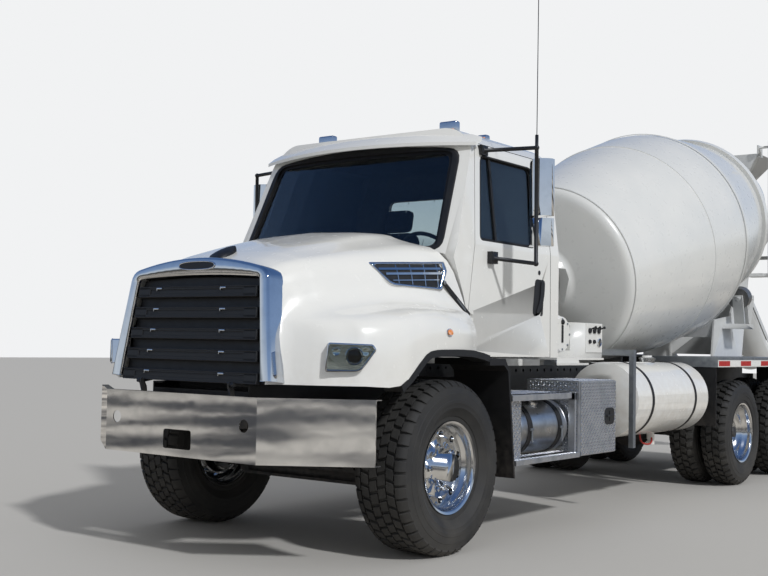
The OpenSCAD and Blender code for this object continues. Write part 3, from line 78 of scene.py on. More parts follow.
# Sun, world and floor; the sky's stops, by height, are what metal reflects
studio = {"sunStrength": 2.1, "sunAngle": 4, "sunFrom": (0.95, -0.28, 0.8), "fill": 0.46,
          "backdrop": "F1F2F3", "floor": "BDBBB7", "floorReach": 60, "floorSpots": 2600,
          # the floor's dark blotches, seen only by mirrors, are painted shade and dark ground
          "floorPale": "D8D0C4", "floorDark": "4B463F",
          "sky": {0.0: "6E6A64", 0.03: "3D3B38", 0.07: "707880", 0.1: "CDD6E0", 0.22: "86A0C6", 0.6: "4E6C9C",
                  1.0: "3F5C8C"}}


def colour(code):  # sRGB hex to linear
    channels = [int(code[i:i + 2], 16) / 255 for i in (0, 2, 4)]
    return (*[c / 12.92 if c <= 0.04045 else ((c + 0.055) / 1.055) ** 2.4 for c in channels], 1)


def feed(node, inputs):  # links the sockets and sets the constants
    for key, value in inputs.items():
        if isinstance(value, bpy.types.NodeSocket):
            node.id_data.links.new(value, node.inputs[key])
        else:
            node.inputs[key].default_value = value


def addNode(tree, kind, inputs=None, **settings):
    node = tree.nodes.new(kind)
    for name, value in settings.items():
        setattr(node, name, value)
    feed(node, inputs or {})
    return node


def maths(tree, operation, *values, clamp=False):
    node = addNode(tree, "ShaderNodeMath", dict(enumerate(values)), operation=operation, use_clamp=clamp)
    return node.outputs[0]


def background(tree, paint, strength):
    return addNode(tree, "ShaderNodeBackground", {"Color": paint, "Strength": strength}).outputs[0]


sun = bpy.data.objects.new("sun", bpy.data.lights.new("sun", "SUN"))
scene.collection.objects.link(sun)
sun.data.energy = studio["sunStrength"]
sun.data.angle = math.radians(studio["sunAngle"])
sun.rotation_euler = Vector(studio["sunFrom"]).to_track_quat("Z", "Y").to_euler()

world = bpy.data.worlds.new("studio")
scene.world = world
world.use_nodes = True
tree = world.node_tree
tree.nodes.clear()
path = addNode(tree, "ShaderNodeLightPath").outputs
seen = maths(tree, "ADD", path["Is Camera Ray"], path["Is Glossy Ray"])
seen = maths(tree, "ADD", seen, path["Is Transmission Ray"], clamp=True)
height = addNode(tree, "ShaderNodeTexCoord").outputs["Generated"]
height = addNode(tree, "ShaderNodeSeparateXYZ", {0: height}).outputs["Z"]
sky = addNode(tree, "ShaderNodeValToRGB", {0: height})
stops = sky.color_ramp.elements
for spot, code in studio["sky"].items():
    stop = stops[0] if spot == 0 else stops[-1] if spot == 1 else stops.new(spot)
    stop.color = colour(code)
shown = background(tree, colour(studio["backdrop"]), 1)
reflected = background(tree, sky.outputs[0], 1)
backdrop = addNode(tree, "ShaderNodeMixShader", {0: path["Is Glossy Ray"], 1: shown, 2: reflected}).outputs[0]
lit = background(tree, colour("FFFFFF"), studio["fill"])
both = addNode(tree, "ShaderNodeMixShader", {0: seen, 1: lit, 2: backdrop}).outputs[0]
addNode(tree, "ShaderNodeOutputWorld", {0: both})
scene.view_settings.view_transform = "Standard"


def newMaterial(name):
    material = bpy.data.materials.new(name)
    material.use_nodes = True
    tree = material.node_tree
    tree.nodes.clear()
    shader = addNode(tree, "ShaderNodeBsdfPrincipled")
    addNode(tree, "ShaderNodeOutputMaterial", {0: shader.outputs[0]})
    return material, tree, shader, addNode(tree, "ShaderNodeTexCoord").outputs["Object"]


def speckle(tree, place, size, detail=3, stretch=(1, 1, 1)):  # noise whose spots are about size mm across
    place = addNode(tree, "ShaderNodeMapping", {"Vector": place, "Scale": stretch}).outputs[0]
    noise = addNode(tree, "ShaderNodeTexNoise", {"Vector": place, "Scale": 1000 / size, "Detail": detail})
    return noise.outputs[0]


def mixColours(tree, factor, a, b):
    a, b = (colour(v) if isinstance(v, str) else v for v in (a, b))
    return addNode(tree, "ShaderNodeMix", {0: factor, 6: a, 7: b}, data_type="RGBA").outputs[2]


def spread(tree, value, low, high, start=0.3, end=0.7):  # a noise value between two levels
    return addNode(tree, "ShaderNodeMapRange", {"Value": value, "From Min": start, "From Max": end,
                                                "To Min": low, "To Max": high}).outputs[0]


def bumps(tree, shader, height, distance):
    bump = addNode(tree, "ShaderNodeBump", {"Height": height, "Distance": distance / 1000, "Strength": 1})
    feed(shader, {"Normal": bump.outputs[0]})


def dustByHeight(tree, place, top, noise):  # 1 near the ground, 0 above top mm, broken up by noise
    height = addNode(tree, "ShaderNodeSeparateXYZ", {0: place}).outputs["Z"]
    return maths(tree, "MULTIPLY", spread(tree, height, 1, 0, 0.25, top / 1000), noise, clamp=True)


# Enamel: two-pack gloss paint on steel or moulded panels, clean above and a little dusty low down
def enamel(name, main, deeper, dust, dustTop, roughness, wave, coat):
    material, tree, shader, place = newMaterial(name)
    grime = speckle(tree, place, 60, 6)
    base = mixColours(tree, spread(tree, speckle(tree, place, 420), 0, 1), main, deeper)
    low = dustByHeight(tree, place, dustTop, spread(tree, grime, 0.1, 0.75))
    feed(shader, {"Base Color": mixColours(tree, low, base, dust), "Coat Weight": coat,
                  "Coat Roughness": 0.04, "Roughness": spread(tree, grime, roughness, roughness + 0.08)})
    peel = speckle(tree, place, 5, 2)  # real orange peel is finer, about 2 mm
    sheet = maths(tree, "MULTIPLY", speckle(tree, place, 260, 1), wave)
    bumps(tree, shader, maths(tree, "MULTIPLY_ADD", peel, 0.02, sheet), 2)
    return material


# Bright metals: what differs is how rough and how clean they are
def brightMetal(name, main, worn, rough, smear, grain=None, brush=(1, 1, 1), dent=0.0):
    material, tree, shader, place = newMaterial(name)
    smudge = speckle(tree, place, 90, 5)
    feed(shader, {"Base Color": mixColours(tree, spread(tree, smudge, 0, 1, 0.45, 0.75), main, worn),
                  "Metallic": 1, "Roughness": spread(tree, smudge, rough, rough + smear)})
    if grain:
        bumps(tree, shader, speckle(tree, place, grain, 3, brush), 0.25)
    elif dent:
        bumps(tree, shader, speckle(tree, place, 170, 1), dent)
    return material


# Dull solids: plastics, rubbers and iron, with a fine grain and some dust
def dullSolid(name, main, lighter, rough, grain, depth, dustTop=900, dustMost=0.25, patch=45, dust="8F857A"):
    material, tree, shader, place = newMaterial(name)
    cloud = speckle(tree, place, patch, 5)
    base = mixColours(tree, spread(tree, cloud, 0, 1), main, lighter)
    low = dustByHeight(tree, place, dustTop, spread(tree, cloud, 0, dustMost))
    feed(shader, {"Base Color": mixColours(tree, low, base, dust),
                  "Roughness": spread(tree, cloud, rough - 0.06, rough + 0.08)})
    bumps(tree, shader, speckle(tree, place, grain, 2), depth)
    return material


# Glass: tinted and laminated panes; the tint is what makes the side windows dark
def pane(name, tint):
    material, tree, shader, place = newMaterial(name)
    feed(shader, {"Base Color": colour(tint), "Transmission Weight": 1, "IOR": 1.45, "Roughness": 0})
    return material


# Lamp lenses: clear or coloured polycarbonate with flutes inside, over a bright reflector
def lens(name, tint):
    material, tree, shader, place = newMaterial(name)
    flutes = addNode(tree, "ShaderNodeTexWave", {"Vector": place, "Scale": 40}).outputs[1]
    feed(shader, {"Base Color": mixColours(tree, spread(tree, flutes, 0, 0.35, 0, 1), tint, "FFFFFF"),
                  "Roughness": 0.12, "Coat Weight": 1})
    bumps(tree, shader, flutes, 1.2)
    return material


# cab and bonnet: clean white with a deep gloss
whiteEnamel = enamel("white_gloss_enamel", "E6E6E3", "E1E2E0", "B9AFA2", 1350, 0.2, 0.25, 0.6)
# drum: nearly the same white, less glossy and wavier over its rolled plates
drumEnamel = enamel("white_drum_enamel", "DDDEDC", "D6D8D7", "B9AFA2", 1200, 0.26, 0.9, 0.4)
# chutes and pedestals: plain grey shop paint
greyEnamel = enamel("light_grey_enamel", "C9CBCB", "BFC1C1", "A59B8E", 1500, 0.32, 0.5, 0.3)
# frame: black, dusty from the road
blackEnamel = enamel("black_chassis_enamel", "161718", "1E1F20", "6E665D", 1100, 0.38, 0.3, 0.1)
# bumper and grille: a mirror, bent a little by long waves
chrome = brightMetal("chrome_plate", "DCDEE0", "D2D4D6", 0.03, 0.03, dent=0.3)
# rims and lamps: near mirrors with a soft edge to what they reflect
polished = brightMetal("polished_aluminium", "D6D8DA", "C6C8CA", 0.12, 0.05)
# fuel tanks: a fine grain round the tank draws out the lights
brushed = brightMetal("brushed_aluminium", "C4C6C8", "A9ABAD", 0.26, 0.12, grain=1.6, brush=(1, 60, 1))
# steps and toolbox: satin sheet between bright lozenges
plateMetal = brightMetal("tread_plate_aluminium", "DADBDC", "B8BABC", 0.38, 0.14)
# decks: matt grey with cloudy spangle
zinc = brightMetal("galvanised_steel", "A6AAAD", "8D9194", 0.42, 0.16)
# axles and engine: dark, rough and grainy
castIron = dullSolid("painted_cast_iron", "202123", "2B2C2E", 0.6, 7, 0.5)
# rollers and fins: bare and scoured by the mix
steel = brightMetal("worn_steel", "9A9A99", "6F6D69", 0.4, 0.25)
# flares and grille bars: satin black with a moulded grain
blackPlastic = dullSolid("black_moulded_plastic", "17181A", "1F2022", 0.46, 3, 0.12, dustMost=0.12)
# seals, straps and flaps: soft black
rubber = dullSolid("black_rubber_sheet", "141415", "1C1C1D", 0.62, 6, 0.3)
# tyres: dark grey, greyer low down where the road dust sits
tyreRubber = dullSolid("tyre_rubber", "262626", "2C2C2B", 0.74, 4, 0.2, 1300, 0.16, 220, "77726B")
# cabin and seats: dark grey trim and a coarser cloth
cabinPlastic = dullSolid("cabin_plastic", "3B3C3E", "454648", 0.6, 3, 0.15, dustMost=0.0)
seatCloth = dullSolid("seat_cloth", "2E3033", "3A3C40", 0.85, 3, 0.4, dustMost=0.0)
# windows: a faint green in front, grey at the sides
screenGlass = pane("laminated_windscreen_glass", "DDE5E3")
sideGlass = pane("tinted_side_glass", "6F7B80")
# lamps: fluted lenses and a dark round lens behind the clear cover
amberLens = lens("amber_lens", "E8861A")
redLens = lens("red_lens", "A81414")
clearLens = lens("clear_lens", "DDE2E6")
projector = brightMetal("projector_lens_glass", "23262A", "2C3036", 0.05, 0.03)
# tape on the decks: flat, clean and saturated
redTape = dullSolid("red_reflective_tape", "B3221E", "A81E1B", 0.35, 2, 0.05, dustMost=0.05)
whiteTape = dullSolid("white_reflective_tape", "E3E4E2", "DADBD9", 0.35, 2, 0.05, dustMost=0.05)
# water hose: dull red rubber
redHose = dullSolid("red_rubber_hose", "A3241F", "B12C26", 0.55, 3, 0.1, dustMost=0.1)
# mirrors: a little darker than chrome and quite flat
mirrorGlass = brightMetal("silvered_mirror_glass", "B9C0C4", "B0B7BB", 0.02, 0.01)
print("materials made")

# Finish of each CAD node
rimNodes = ("front_rim_left front_rim_right rear_rims_1_left rear_rims_1_right "
            "rear_rims_2_left rear_rims_2_right")
finishOf = {
    whiteEnamel: "cab_shell sun_visor water_tank front_pedestal hood door_left door_right",
    drumEnamel: "drum_shell",
    greyEnamel: "rear_pedestal charge_hopper chute_turret main_chute fold_chute",
    zinc: "rear_decks",
    blackEnamel: "frame_rails hood_frame cylinder_barrel",
    castIron: "engine_block front_axle rear_axles knuckle_left knuckle_right tie_rod drum_gearbox",
    chrome: "front_bumper grille_surround headlamps side_vents mirror_left mirror_right cylinder_rod",
    polished: rimNodes,
    brushed: "fuel_tanks",
    plateMetal: "cab_steps toolbox toolbox_door",
    steel: "drum_fins roller_left roller_right",
    blackPlastic: "wheel_flares grille_bars",
    rubber: "tank_straps splash_guards",
    tyreRubber: rimNodes.replace("rims", "tyres").replace("rim", "tyre"),
    cabinPlastic: "cab_interior",
    seatCloth: "seats",
    screenGlass: "cab_glass",
    sideGlass: "door_glass_left door_glass_right",
    clearLens: "lamps"}
for material, names in finishOf.items():
    for name in names.split():
        node = frame["nodes"][name]
        node.data.materials.clear()
        node.data.materials.append(material)

bodyOf = {name: body for body, names in frame["record"]["behaviour"]["bodies"].items() for name in names}


@contextmanager
def editing(mesh):  # opens a mesh for bmesh's tools and writes it back
    work = bmesh.new()
    work.from_mesh(mesh)
    yield work
    work.to_mesh(mesh)
    work.free()


def smooth(mesh, angle):
    mesh.shade_smooth()
    mesh.set_sharp_from_angle(angle=math.radians(angle))
    return mesh


def joined(meshes):
    result = bpy.data.meshes.new("joined")
    with editing(result) as work:
        for mesh in meshes:
            work.from_mesh(mesh)
    return result


def mirrored(mesh):  # the same shape on the passenger's side
    copy = mesh.copy()
    copy.transform(Matrix.Scale(-1, 4, xAxis))
    copy.flip_normals()
    return copy


# A mesh, or a list of them, becomes one piece; it may be made for both sides, and smoothed up to an angle
def addPiece(name, mesh, body, material, replaced=(), bothSides=False, angle=None):
    if isinstance(mesh, list):
        mesh = joined(mesh)
    if bothSides:
        mesh = joined([mesh, mirrored(mesh)])
    if angle:
        smooth(mesh, angle)
    piece = bpy.data.objects.new(name, mesh)
    scene.collection.objects.link(piece)
    mesh.name = name
    mesh.materials.clear()
    mesh.materials.append(material)
    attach(piece, body)
    if replaced:
        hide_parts(*replaced)
    return piece


def addToDoors(name, meshes, material):
    mesh = joined(meshes)
    addPiece(name + "_left_door", mesh, "left_door", material)
    addPiece(name + "_right_door", mirrored(mesh), "right_door", material)


# Round and curved nodes are shown as merged copies with smooth shading up to these angles
smoothed = {
    18: "front_bumper",
    20: "cab_glass door_glass_left door_glass_right",
    22: "drum_shell cab_shell door_left door_right",
    24: "water_tank",
    26: "wheel_flares front_pedestal drum_gearbox rear_pedestal main_chute fold_chute cab_interior lamps "
        "charge_hopper",
    28: rimNodes,
    30: "tank_straps mirror_left mirror_right rear_axles front_axle cylinder_barrel cylinder_rod roller_left "
        "roller_right rear_decks",
    40: "drum_fins"}
for angle, names in smoothed.items():
    for name in names.split():
        mesh = frame["nodes"][name].data.copy()
        with editing(mesh) as work:
            bmesh.ops.remove_doubles(work, verts=work.verts, dist=0.00005)
            bmesh.ops.dissolve_degenerate(work, edges=work.edges, dist=0.00002)
        addPiece("smooth_" + name, mesh, bodyOf[name], mesh.materials[0], [name], angle=angle)
print("smooth copies made")


# Gives another finish to the faces of a smooth copy that pass a test on their middle, in mm, and their normal
def repaint(name, material, test):
    mesh = bpy.data.objects["smooth_" + name].data
    mesh.materials.append(material)
    for face in mesh.polygons:
        if test(*inMm(face.center), face.normal):
            face.material_index = len(mesh.materials) - 1


# Where a line from a place in mm first meets a smooth copy: the point in mm and the normal there
def landed(name, place, direction):
    target = bpy.data.objects["smooth_" + name]
    found, point, normal, _ = target.ray_cast(at(*place), Vector(direction).normalized())
    if not found:
        raise ValueError("nothing met on " + name)
    return inMm(point), normal


cabin = {"middle": Vector((0, 1050, 2000)), "floor": 1275, "facing": 0.08}
mirrorHead = {"inner": 1240, "front": 789, "glass": 850, "main": (2262, 2662), "lower": (2050, 2245)}


def facesCabin(x, y, z, normal):  # faces that look towards the cab's middle are trimmed dark
    inward = (cabin["middle"] - Vector((x, y, z))).normalized()
    return z > cabin["floor"] and normal.dot(inward) > cabin["facing"]


def onMirrorArm(x, y, z, normal):
    inHead = any(low <= z <= high for low, high in (mirrorHead["main"], mirrorHead["lower"]))
    return abs(x) < mirrorHead["inner"] or y < mirrorHead["front"] or not inHead


def onMirrorGlass(x, y, z, normal):
    return normal.y > 0.95 and y > mirrorHead["glass"]


for name in ("cab_shell", "door_left", "door_right"):
    repaint(name, cabinPlastic, facesCabin)
for side, _ in sides:
    repaint("mirror_" + side, blackPlastic, onMirrorArm)
    repaint("mirror_" + side, mirrorGlass, onMirrorGlass)
with editing(bpy.data.objects["smooth_lamps"].data) as work:  # the roof lamps are made anew below
    bmesh.ops.delete(work, geom=[v for v in work.verts if v.co.z > 2], context="VERTS")
repaint("lamps", redLens, lambda x, y, z, normal: z < 2000 and abs(x) > 700)


# Quads between rings of count points each
def ringFaces(rings, count, closed=True, around=False):
    return [(a * count + i, a * count + (i + 1) % count, b * count + (i + 1) % count, b * count + i)
            for a in range(rings if around else rings - 1) for b in [(a + 1) % rings]
            for i in range(count if closed else count - 1)]


def endFaces(rings, count):  # the first and the last ring as faces
    return [tuple(range(count)), tuple((rings - 1) * count + i for i in range(count))]


def meshFrom(points, faces):
    mesh = bpy.data.meshes.new("form")
    mesh.from_pydata([tuple(p) for p in points], [], faces)
    with editing(mesh) as work:
        bmesh.ops.remove_doubles(work, verts=work.verts, dist=0.00002)
        bmesh.ops.recalc_face_normals(work, faces=work.faces)
    return mesh


def polar(x, r, a):  # a point x mm along the axle and r mm from it, in metres
    return (x / 1000, r * math.cos(a) / 1000, r * math.sin(a) / 1000)


# A closed section (radius, place along the axle) in mm, turned round the X axis
def turned(section, steps):
    points = [polar(x, r, 2 * math.pi * i / steps) for i in range(steps) for r, x in section]
    return meshFrom(points, ringFaces(steps, len(section), around=True))


# Discs of (radius, x) stacked along X, moved out along Z by offset
def stacked(sections, corners, offset=0):
    angles = [2 * math.pi * k / corners for k in range(corners)]
    points = [(x / 1000, r * math.sin(a) / 1000, (offset + r * math.cos(a)) / 1000)
              for r, x in sections for a in angles]
    return meshFrom(points, ringFaces(len(sections), corners) + endFaces(len(sections), corners))


def valueAt(table, x):  # between the rows (x, value) of a table, and its last value beyond them
    for (x0, v0), (x1, v1) in zip(table, table[1:]):
        if x <= x1:
            return v0 + (v1 - v0) * (x - x0) / (x1 - x0)
    return table[-1][1]


def newTree(name, sockets):
    tree = bpy.data.node_groups.new(name, "GeometryNodeTree")
    for socket, kind in sockets.items():
        tree.interface.new_socket(name=socket, in_out="INPUT", socket_type="NodeSocket" + kind)
    tree.interface.new_socket(name="Geometry", in_out="OUTPUT", socket_type="NodeSocketGeometry")
    return tree, addNode(tree, "NodeGroupInput").outputs


# Ends a tree with a copy of its part on each point, as plain geometry of one finish
def closeTree(tree, given, points, turn):
    turn = addNode(tree, "FunctionNodeEulerToRotation", {0: turn}).outputs[0]
    part = addNode(tree, "GeometryNodeObjectInfo", {"Object": given["Part"]}).outputs["Geometry"]
    copies = addNode(tree, "GeometryNodeInstanceOnPoints",
                     {"Points": points, "Instance": part, "Rotation": turn})
    real = addNode(tree, "GeometryNodeRealizeInstances", {0: copies.outputs[0]})
    done = addNode(tree, "GeometryNodeSetMaterial",
                   {"Geometry": real.outputs[0], "Material": given["Finish"]})
    addNode(tree, "NodeGroupOutput", {0: done.outputs[0]})


# Runs a tree once on a part with the given inputs and returns its result as a plain mesh
def grown(tree, part, values):
    source = bpy.data.objects.new("part", part)
    holder = bpy.data.objects.new("holder", bpy.data.meshes.new("holder"))
    for thing in (source, holder):
        scene.collection.objects.link(thing)
    modifier = holder.modifiers.new("repeat", "NODES")
    modifier.node_group = tree
    values = {**values, "Part": source}
    for item in tree.interface.items_tree:
        if item.in_out == "INPUT":
            modifier[item.identifier] = values[item.name]
    result = bpy.data.meshes.new_from_object(holder.evaluated_get(bpy.context.evaluated_depsgraph_get()))
    for thing in (source, holder):
        bpy.data.objects.remove(thing)
    return result


# Repeats a part round the X axis
ringTree, given = newTree("round_the_axle", {"Part": "Object", "Count": "Int", "Start": "Float",
                                             "Finish": "Material"})
spots = addNode(ringTree, "GeometryNodePoints", {"Count": given["Count"]}).outputs[0]
share = maths(ringTree, "DIVIDE", addNode(ringTree, "GeometryNodeInputIndex").outputs[0], given["Count"])
angle = maths(ringTree, "MULTIPLY_ADD", share, 2 * math.pi, given["Start"])
closeTree(ringTree, given, spots, addNode(ringTree, "ShaderNodeCombineXYZ", {"X": angle}).outputs[0])


def roundTheAxle(part, count, material, start=0.0):
    return grown(ringTree, part, {"Count": count, "Start": start, "Finish": material})


# Tyres: a carcass with ribs on its wall, and tread blocks repeated round it
tyres = {
    "front": {"radius": 562, "width": 425, "bead": 286, "rimWidth": 320, "pitches": 42, "groove": 15,
              # each row of blocks: middle, width, share of the pitch, offset in pitches, slant in mm
              "rows": [(-166, 66, 0.86, 0.5, 0), (-96, 52, 0.8, 0.15, 14), (-32, 54, 0.82, 0.65, -14),
                       (32, 54, 0.82, 0.15, -14), (96, 52, 0.8, 0.65, 14), (166, 66, 0.86, 0.0, 0)]},
    "rear": {"radius": 525, "width": 280, "bead": 286, "rimWidth": 220, "pitches": 38, "groove": 20,
             "rows": [(-99, 62, 0.66, 0.5, 8), (-33, 48, 0.74, 0.1, -16), (33, 48, 0.74, 0.6, 16),
                      (99, 62, 0.66, 0.0, -8)]}}
block = {"stations": 4, "draft": 0.035, "sink": 6, "edge": 18}


def crown(size, x):  # tread radius at x mm from the tyre's middle
    r, half = size["radius"], size["width"] / 2
    table = [(0, r), (half / 2, r), (half - 62, r - 3), (half - 40, r - 12), (half - 18, r - 34)]
    return valueAt(table, abs(x))


def treadPitch(size):
    points = []
    faces = []
    pitch = 2 * math.pi / size["pitches"]
    draft = block["draft"] * pitch
    reach = size["width"] / 2 - block["edge"]
    for middle, width, share, offset, slant in size["rows"]:
        first = len(points)
        for k in range(block["stations"] + 1):
            along = k / block["stations"] - 0.5
            x = max(min(middle + width * along, reach), -reach)
            top = crown(size, x)
            foot = top - size["groove"] - block["sink"]
            a = offset * pitch + slant * along / size["radius"]
            b = a + share * pitch
            points += [polar(x, r, q) for q, r in ((a, foot), (a + draft, top - 2), (a + 2 * draft, top),
                                                   (b - 2 * draft, top), (b - draft, top - 2), (b, foot))]
        rings = block["stations"] + 1
        blockFaces = ringFaces(rings, 6, closed=False) + endFaces(rings, 6)
        faces += [tuple(first + i for i in face) for face in blockFaces]
    return meshFrom(points, faces)


def tyreMesh(size):
    r, half, bead, rim = size["radius"], size["width"] / 2, size["bead"], size["rimWidth"] / 2
    wall = r - bead
    foot = r - size["groove"]
    # shares of the wall's height with the half width there
    ribs = [(0.16, rim + 9), (0.17, rim + 15), (0.35, half - 6), (0.36, half - 3), (0.46, half - 1.5),
            (0.47, half), (0.54, half), (0.55, half - 2.5), (0.7, half - 6), (0.71, half - 9)]
    side = [(bead, rim - 34), (bead, rim - 0.5), (bead + 14, rim - 0.5), (bead + 18, rim + 6)]
    side += [(bead + share * wall, x) for share, x in ribs]
    side += [(r - 44, half - 18), (r - 40, half - 22), (foot - 16, half - 36), (foot - 5, half - 60),
             (foot - 1, half / 2)]
    carcass = smooth(turned(side + [(q, -x) for q, x in reversed(side)], 120), 25)
    return joined([carcass, roundTheAxle(treadPitch(size), size["pitches"], tyreRubber)])


# axles: kind of tyre, names, y, height, places of the tyres and of the nuts' washers
axles = (("front", "front_tyre_", "front_rim_", 0, 562, (1000,), 1092),
         ("rear", "rear_tyres_1_", "rear_rims_1_", 5280, 525, (750, 1080), 937),
         ("rear", "rear_tyres_2_", "rear_rims_2_", 6650, 525, (750, 1080), 937))


def onAxle(mesh, x, y, z):  # a copy there, which points the other way on the other side
    copy = mesh.copy()
    if x < 0:
        copy.transform(Matrix.Rotation(math.pi, 4, "Z"))
    copy.transform(Matrix.Translation(at(x, y, z)))
    return copy


tyreForms = {kind: tyreMesh(size) for kind, size in tyres.items()}
for kind, tyreName, _, y, z, places, _ in axles:
    for side, sign in sides:
        copies = [onAxle(tyreForms[kind], sign * x, y, z) for x in places]
        addPiece("treaded_" + tyreName + side, copies, bodyOf[tyreName + side], tyreRubber, [tyreName + side],
                 angle=28)
print("tyres made")

# Wheel nuts with their washers and stud ends
nut = {"flats": 33, "height": 26, "washer": 23, "stud": 11, "studEnd": 14, "pitchRadius": 142.9, "count": 10,
       "start": 18}


def nutMesh():
    half = nut["flats"] / 2 / math.cos(math.pi / 6)
    top = nut["height"]
    parts = (([(nut["washer"], 0), (nut["washer"], 3), (half, 5)], 16),
             ([(half, 4), (half, top - 3), (half - 3, top)], 6),
             ([(nut["stud"], top - 2), (nut["stud"], top + nut["studEnd"])], 10))
    return joined([stacked(sections, corners, nut["pitchRadius"]) for sections, corners in parts])


nutRing = roundTheAxle(nutMesh(), nut["count"], chrome, math.radians(nut["start"]))
for _, _, rimName, y, z, _, x in axles:
    for side, sign in sides:
        nuts = onAxle(nutRing, sign * x, y, z)
        addPiece("nuts_" + rimName + side, nuts, bodyOf[rimName + side], chrome, angle=30)
print("wheel nuts made")


def eased(work, edges, radius, segments=2):
    bmesh.ops.bevel(work, geom=edges, offset=radius / 1000, segments=segments, affect="EDGES", profile=0.5)


# Block between two corners in mm, with rounded edges
def roundedBlock(low, high, edge=0.0, segments=2):
    mesh = bpy.data.meshes.new("block")
    with editing(mesh) as work:
        bmesh.ops.create_cube(work, size=1)
        for v in work.verts:
            v.co = at(*[a + (c + 0.5) * (b - a) for a, b, c in zip(low, high, v.co)])
        if edge:
            eased(work, work.edges[:], edge, segments)
    return mesh


def blocks(*rows):
    return [roundedBlock(*row) for row in rows]


# Rows of numbers that run smoothly through the given ones (Catmull-Rom)
def smoothRows(rows, steps):
    result = []
    for i in range(len(rows) - 1):
        near = [rows[min(max(i + k, 0), len(rows) - 1)] for k in (-1, 0, 1, 2)]
        for t in (k / steps for k in range(steps)):
            result.append([0.5 * (2 * b + (c - a) * t + (2 * a - 5 * b + 4 * c - d) * t * t
                                  + (3 * b - a - 3 * c + d) * t ** 3) for a, b, c, d in zip(*near)])
    return result + [list(rows[-1])]


# Round tube of radius mm along points in metres, with closed ends
def tube(line, radius, corners=12):
    points = []
    up = Vector((0.013, 0.017, 1)).normalized()
    for i, place in enumerate(line):
        along = (line[min(i + 1, len(line) - 1)] - line[max(i - 1, 0)]).normalized()
        side = along.cross(up)
        side = side.normalized() if side.length > 0.05 else along.cross(Vector(yAxis)).normalized()
        up = side.cross(along)
        for a in (2 * math.pi * k / corners for k in range(corners)):
            points.append(place + (side * math.cos(a) + up * math.sin(a)) * radius / 1000)
    return smooth(meshFrom(points, ringFaces(len(line), corners) + endFaces(len(line), corners)), 40)


def closedTube(places, radius, corners=10):  # the same round a closed outline in mm
    line = [at(*q) for q in places]
    return tube(line + line[:2], radius, corners)


# Flat outline in the plane of two directions, given a thickness along the third
def plate(outline, origin, across, along, thickness, edge=0.0):
    across, along = Vector(across).normalized(), Vector(along).normalized()
    base = [at(*origin) + (across * a + along * b) / 1000 for a, b in outline]
    top = [q + across.cross(along) * thickness / 1000 for q in base]
    mesh = meshFrom(base + top, endFaces(2, len(base)) + ringFaces(2, len(base)))
    if edge:
        with editing(mesh) as work:
            eased(work, [e for e in work.edges if e.calc_face_angle(0) > 0.9], edge)
    return mesh


def sidePlate(outline, x, thickness, edge=0.0):  # an outline of (y, z) that faces left
    return plate(outline, (x, 0, 0), yAxis, zAxis, thickness, edge)


def ellipse(halfWidth, halfHeight, corners=32, power=1.0):
    result = []
    for k in range(corners):
        c, s = math.cos(2 * math.pi * k / corners), math.sin(2 * math.pi * k / corners)
        result.append((halfWidth * math.copysign(abs(c) ** power, c),
                       halfHeight * math.copysign(abs(s) ** power, s)))
    return result


# Disc turned about an axis through a place: rings of (radius, distance along the axis) in mm
def disc(place, axis, rings, corners=32):
    mesh = stacked(rings, corners)
    mesh.transform(Matrix.Translation(at(*place)) @ Vector(axis).to_track_quat("X", "Z").to_matrix().to_4x4())
    return smooth(mesh, 35)


# Rings of as many places in mm, joined one to the next
def lofted(rings, capped=False, closed=True):
    count = len(rings[0])
    ends = endFaces(len(rings), count) if capped else []
    return meshFrom([at(*q) for ring in rings for q in ring], ringFaces(len(rings), count, closed) + ends)


# Open lines as rings, the last joined to the first, with both edges shut
def shell(rings):
    count = len(rings[0])
    edges = [tuple(a * count + i for a in range(len(rings))) for i in (0, count - 1)]
    faces = ringFaces(len(rings), count, closed=False, around=True)
    return meshFrom([at(*q) for ring in rings for q in ring], faces + edges)


# Corners (x, y, setback) of an outline eased by curves, as the part's own outlines are
def softened(rows):
    result = []
    for i, (x, y, back) in enumerate(rows):
        corner = Vector((x, y))
        if not back:
            result.append((x, y))
            continue
        before, after = (Vector(rows[(i + k) % len(rows)][:2]) for k in (-1, 1))
        start = corner + (before - corner).normalized() * back
        end = corner + (after - corner).normalized() * back
        for t in (0, 0.25, 0.5, 0.75, 1):
            result.append(tuple(start * (1 - t) ** 2 + corner * 2 * t * (1 - t) + end * t * t))
    return result


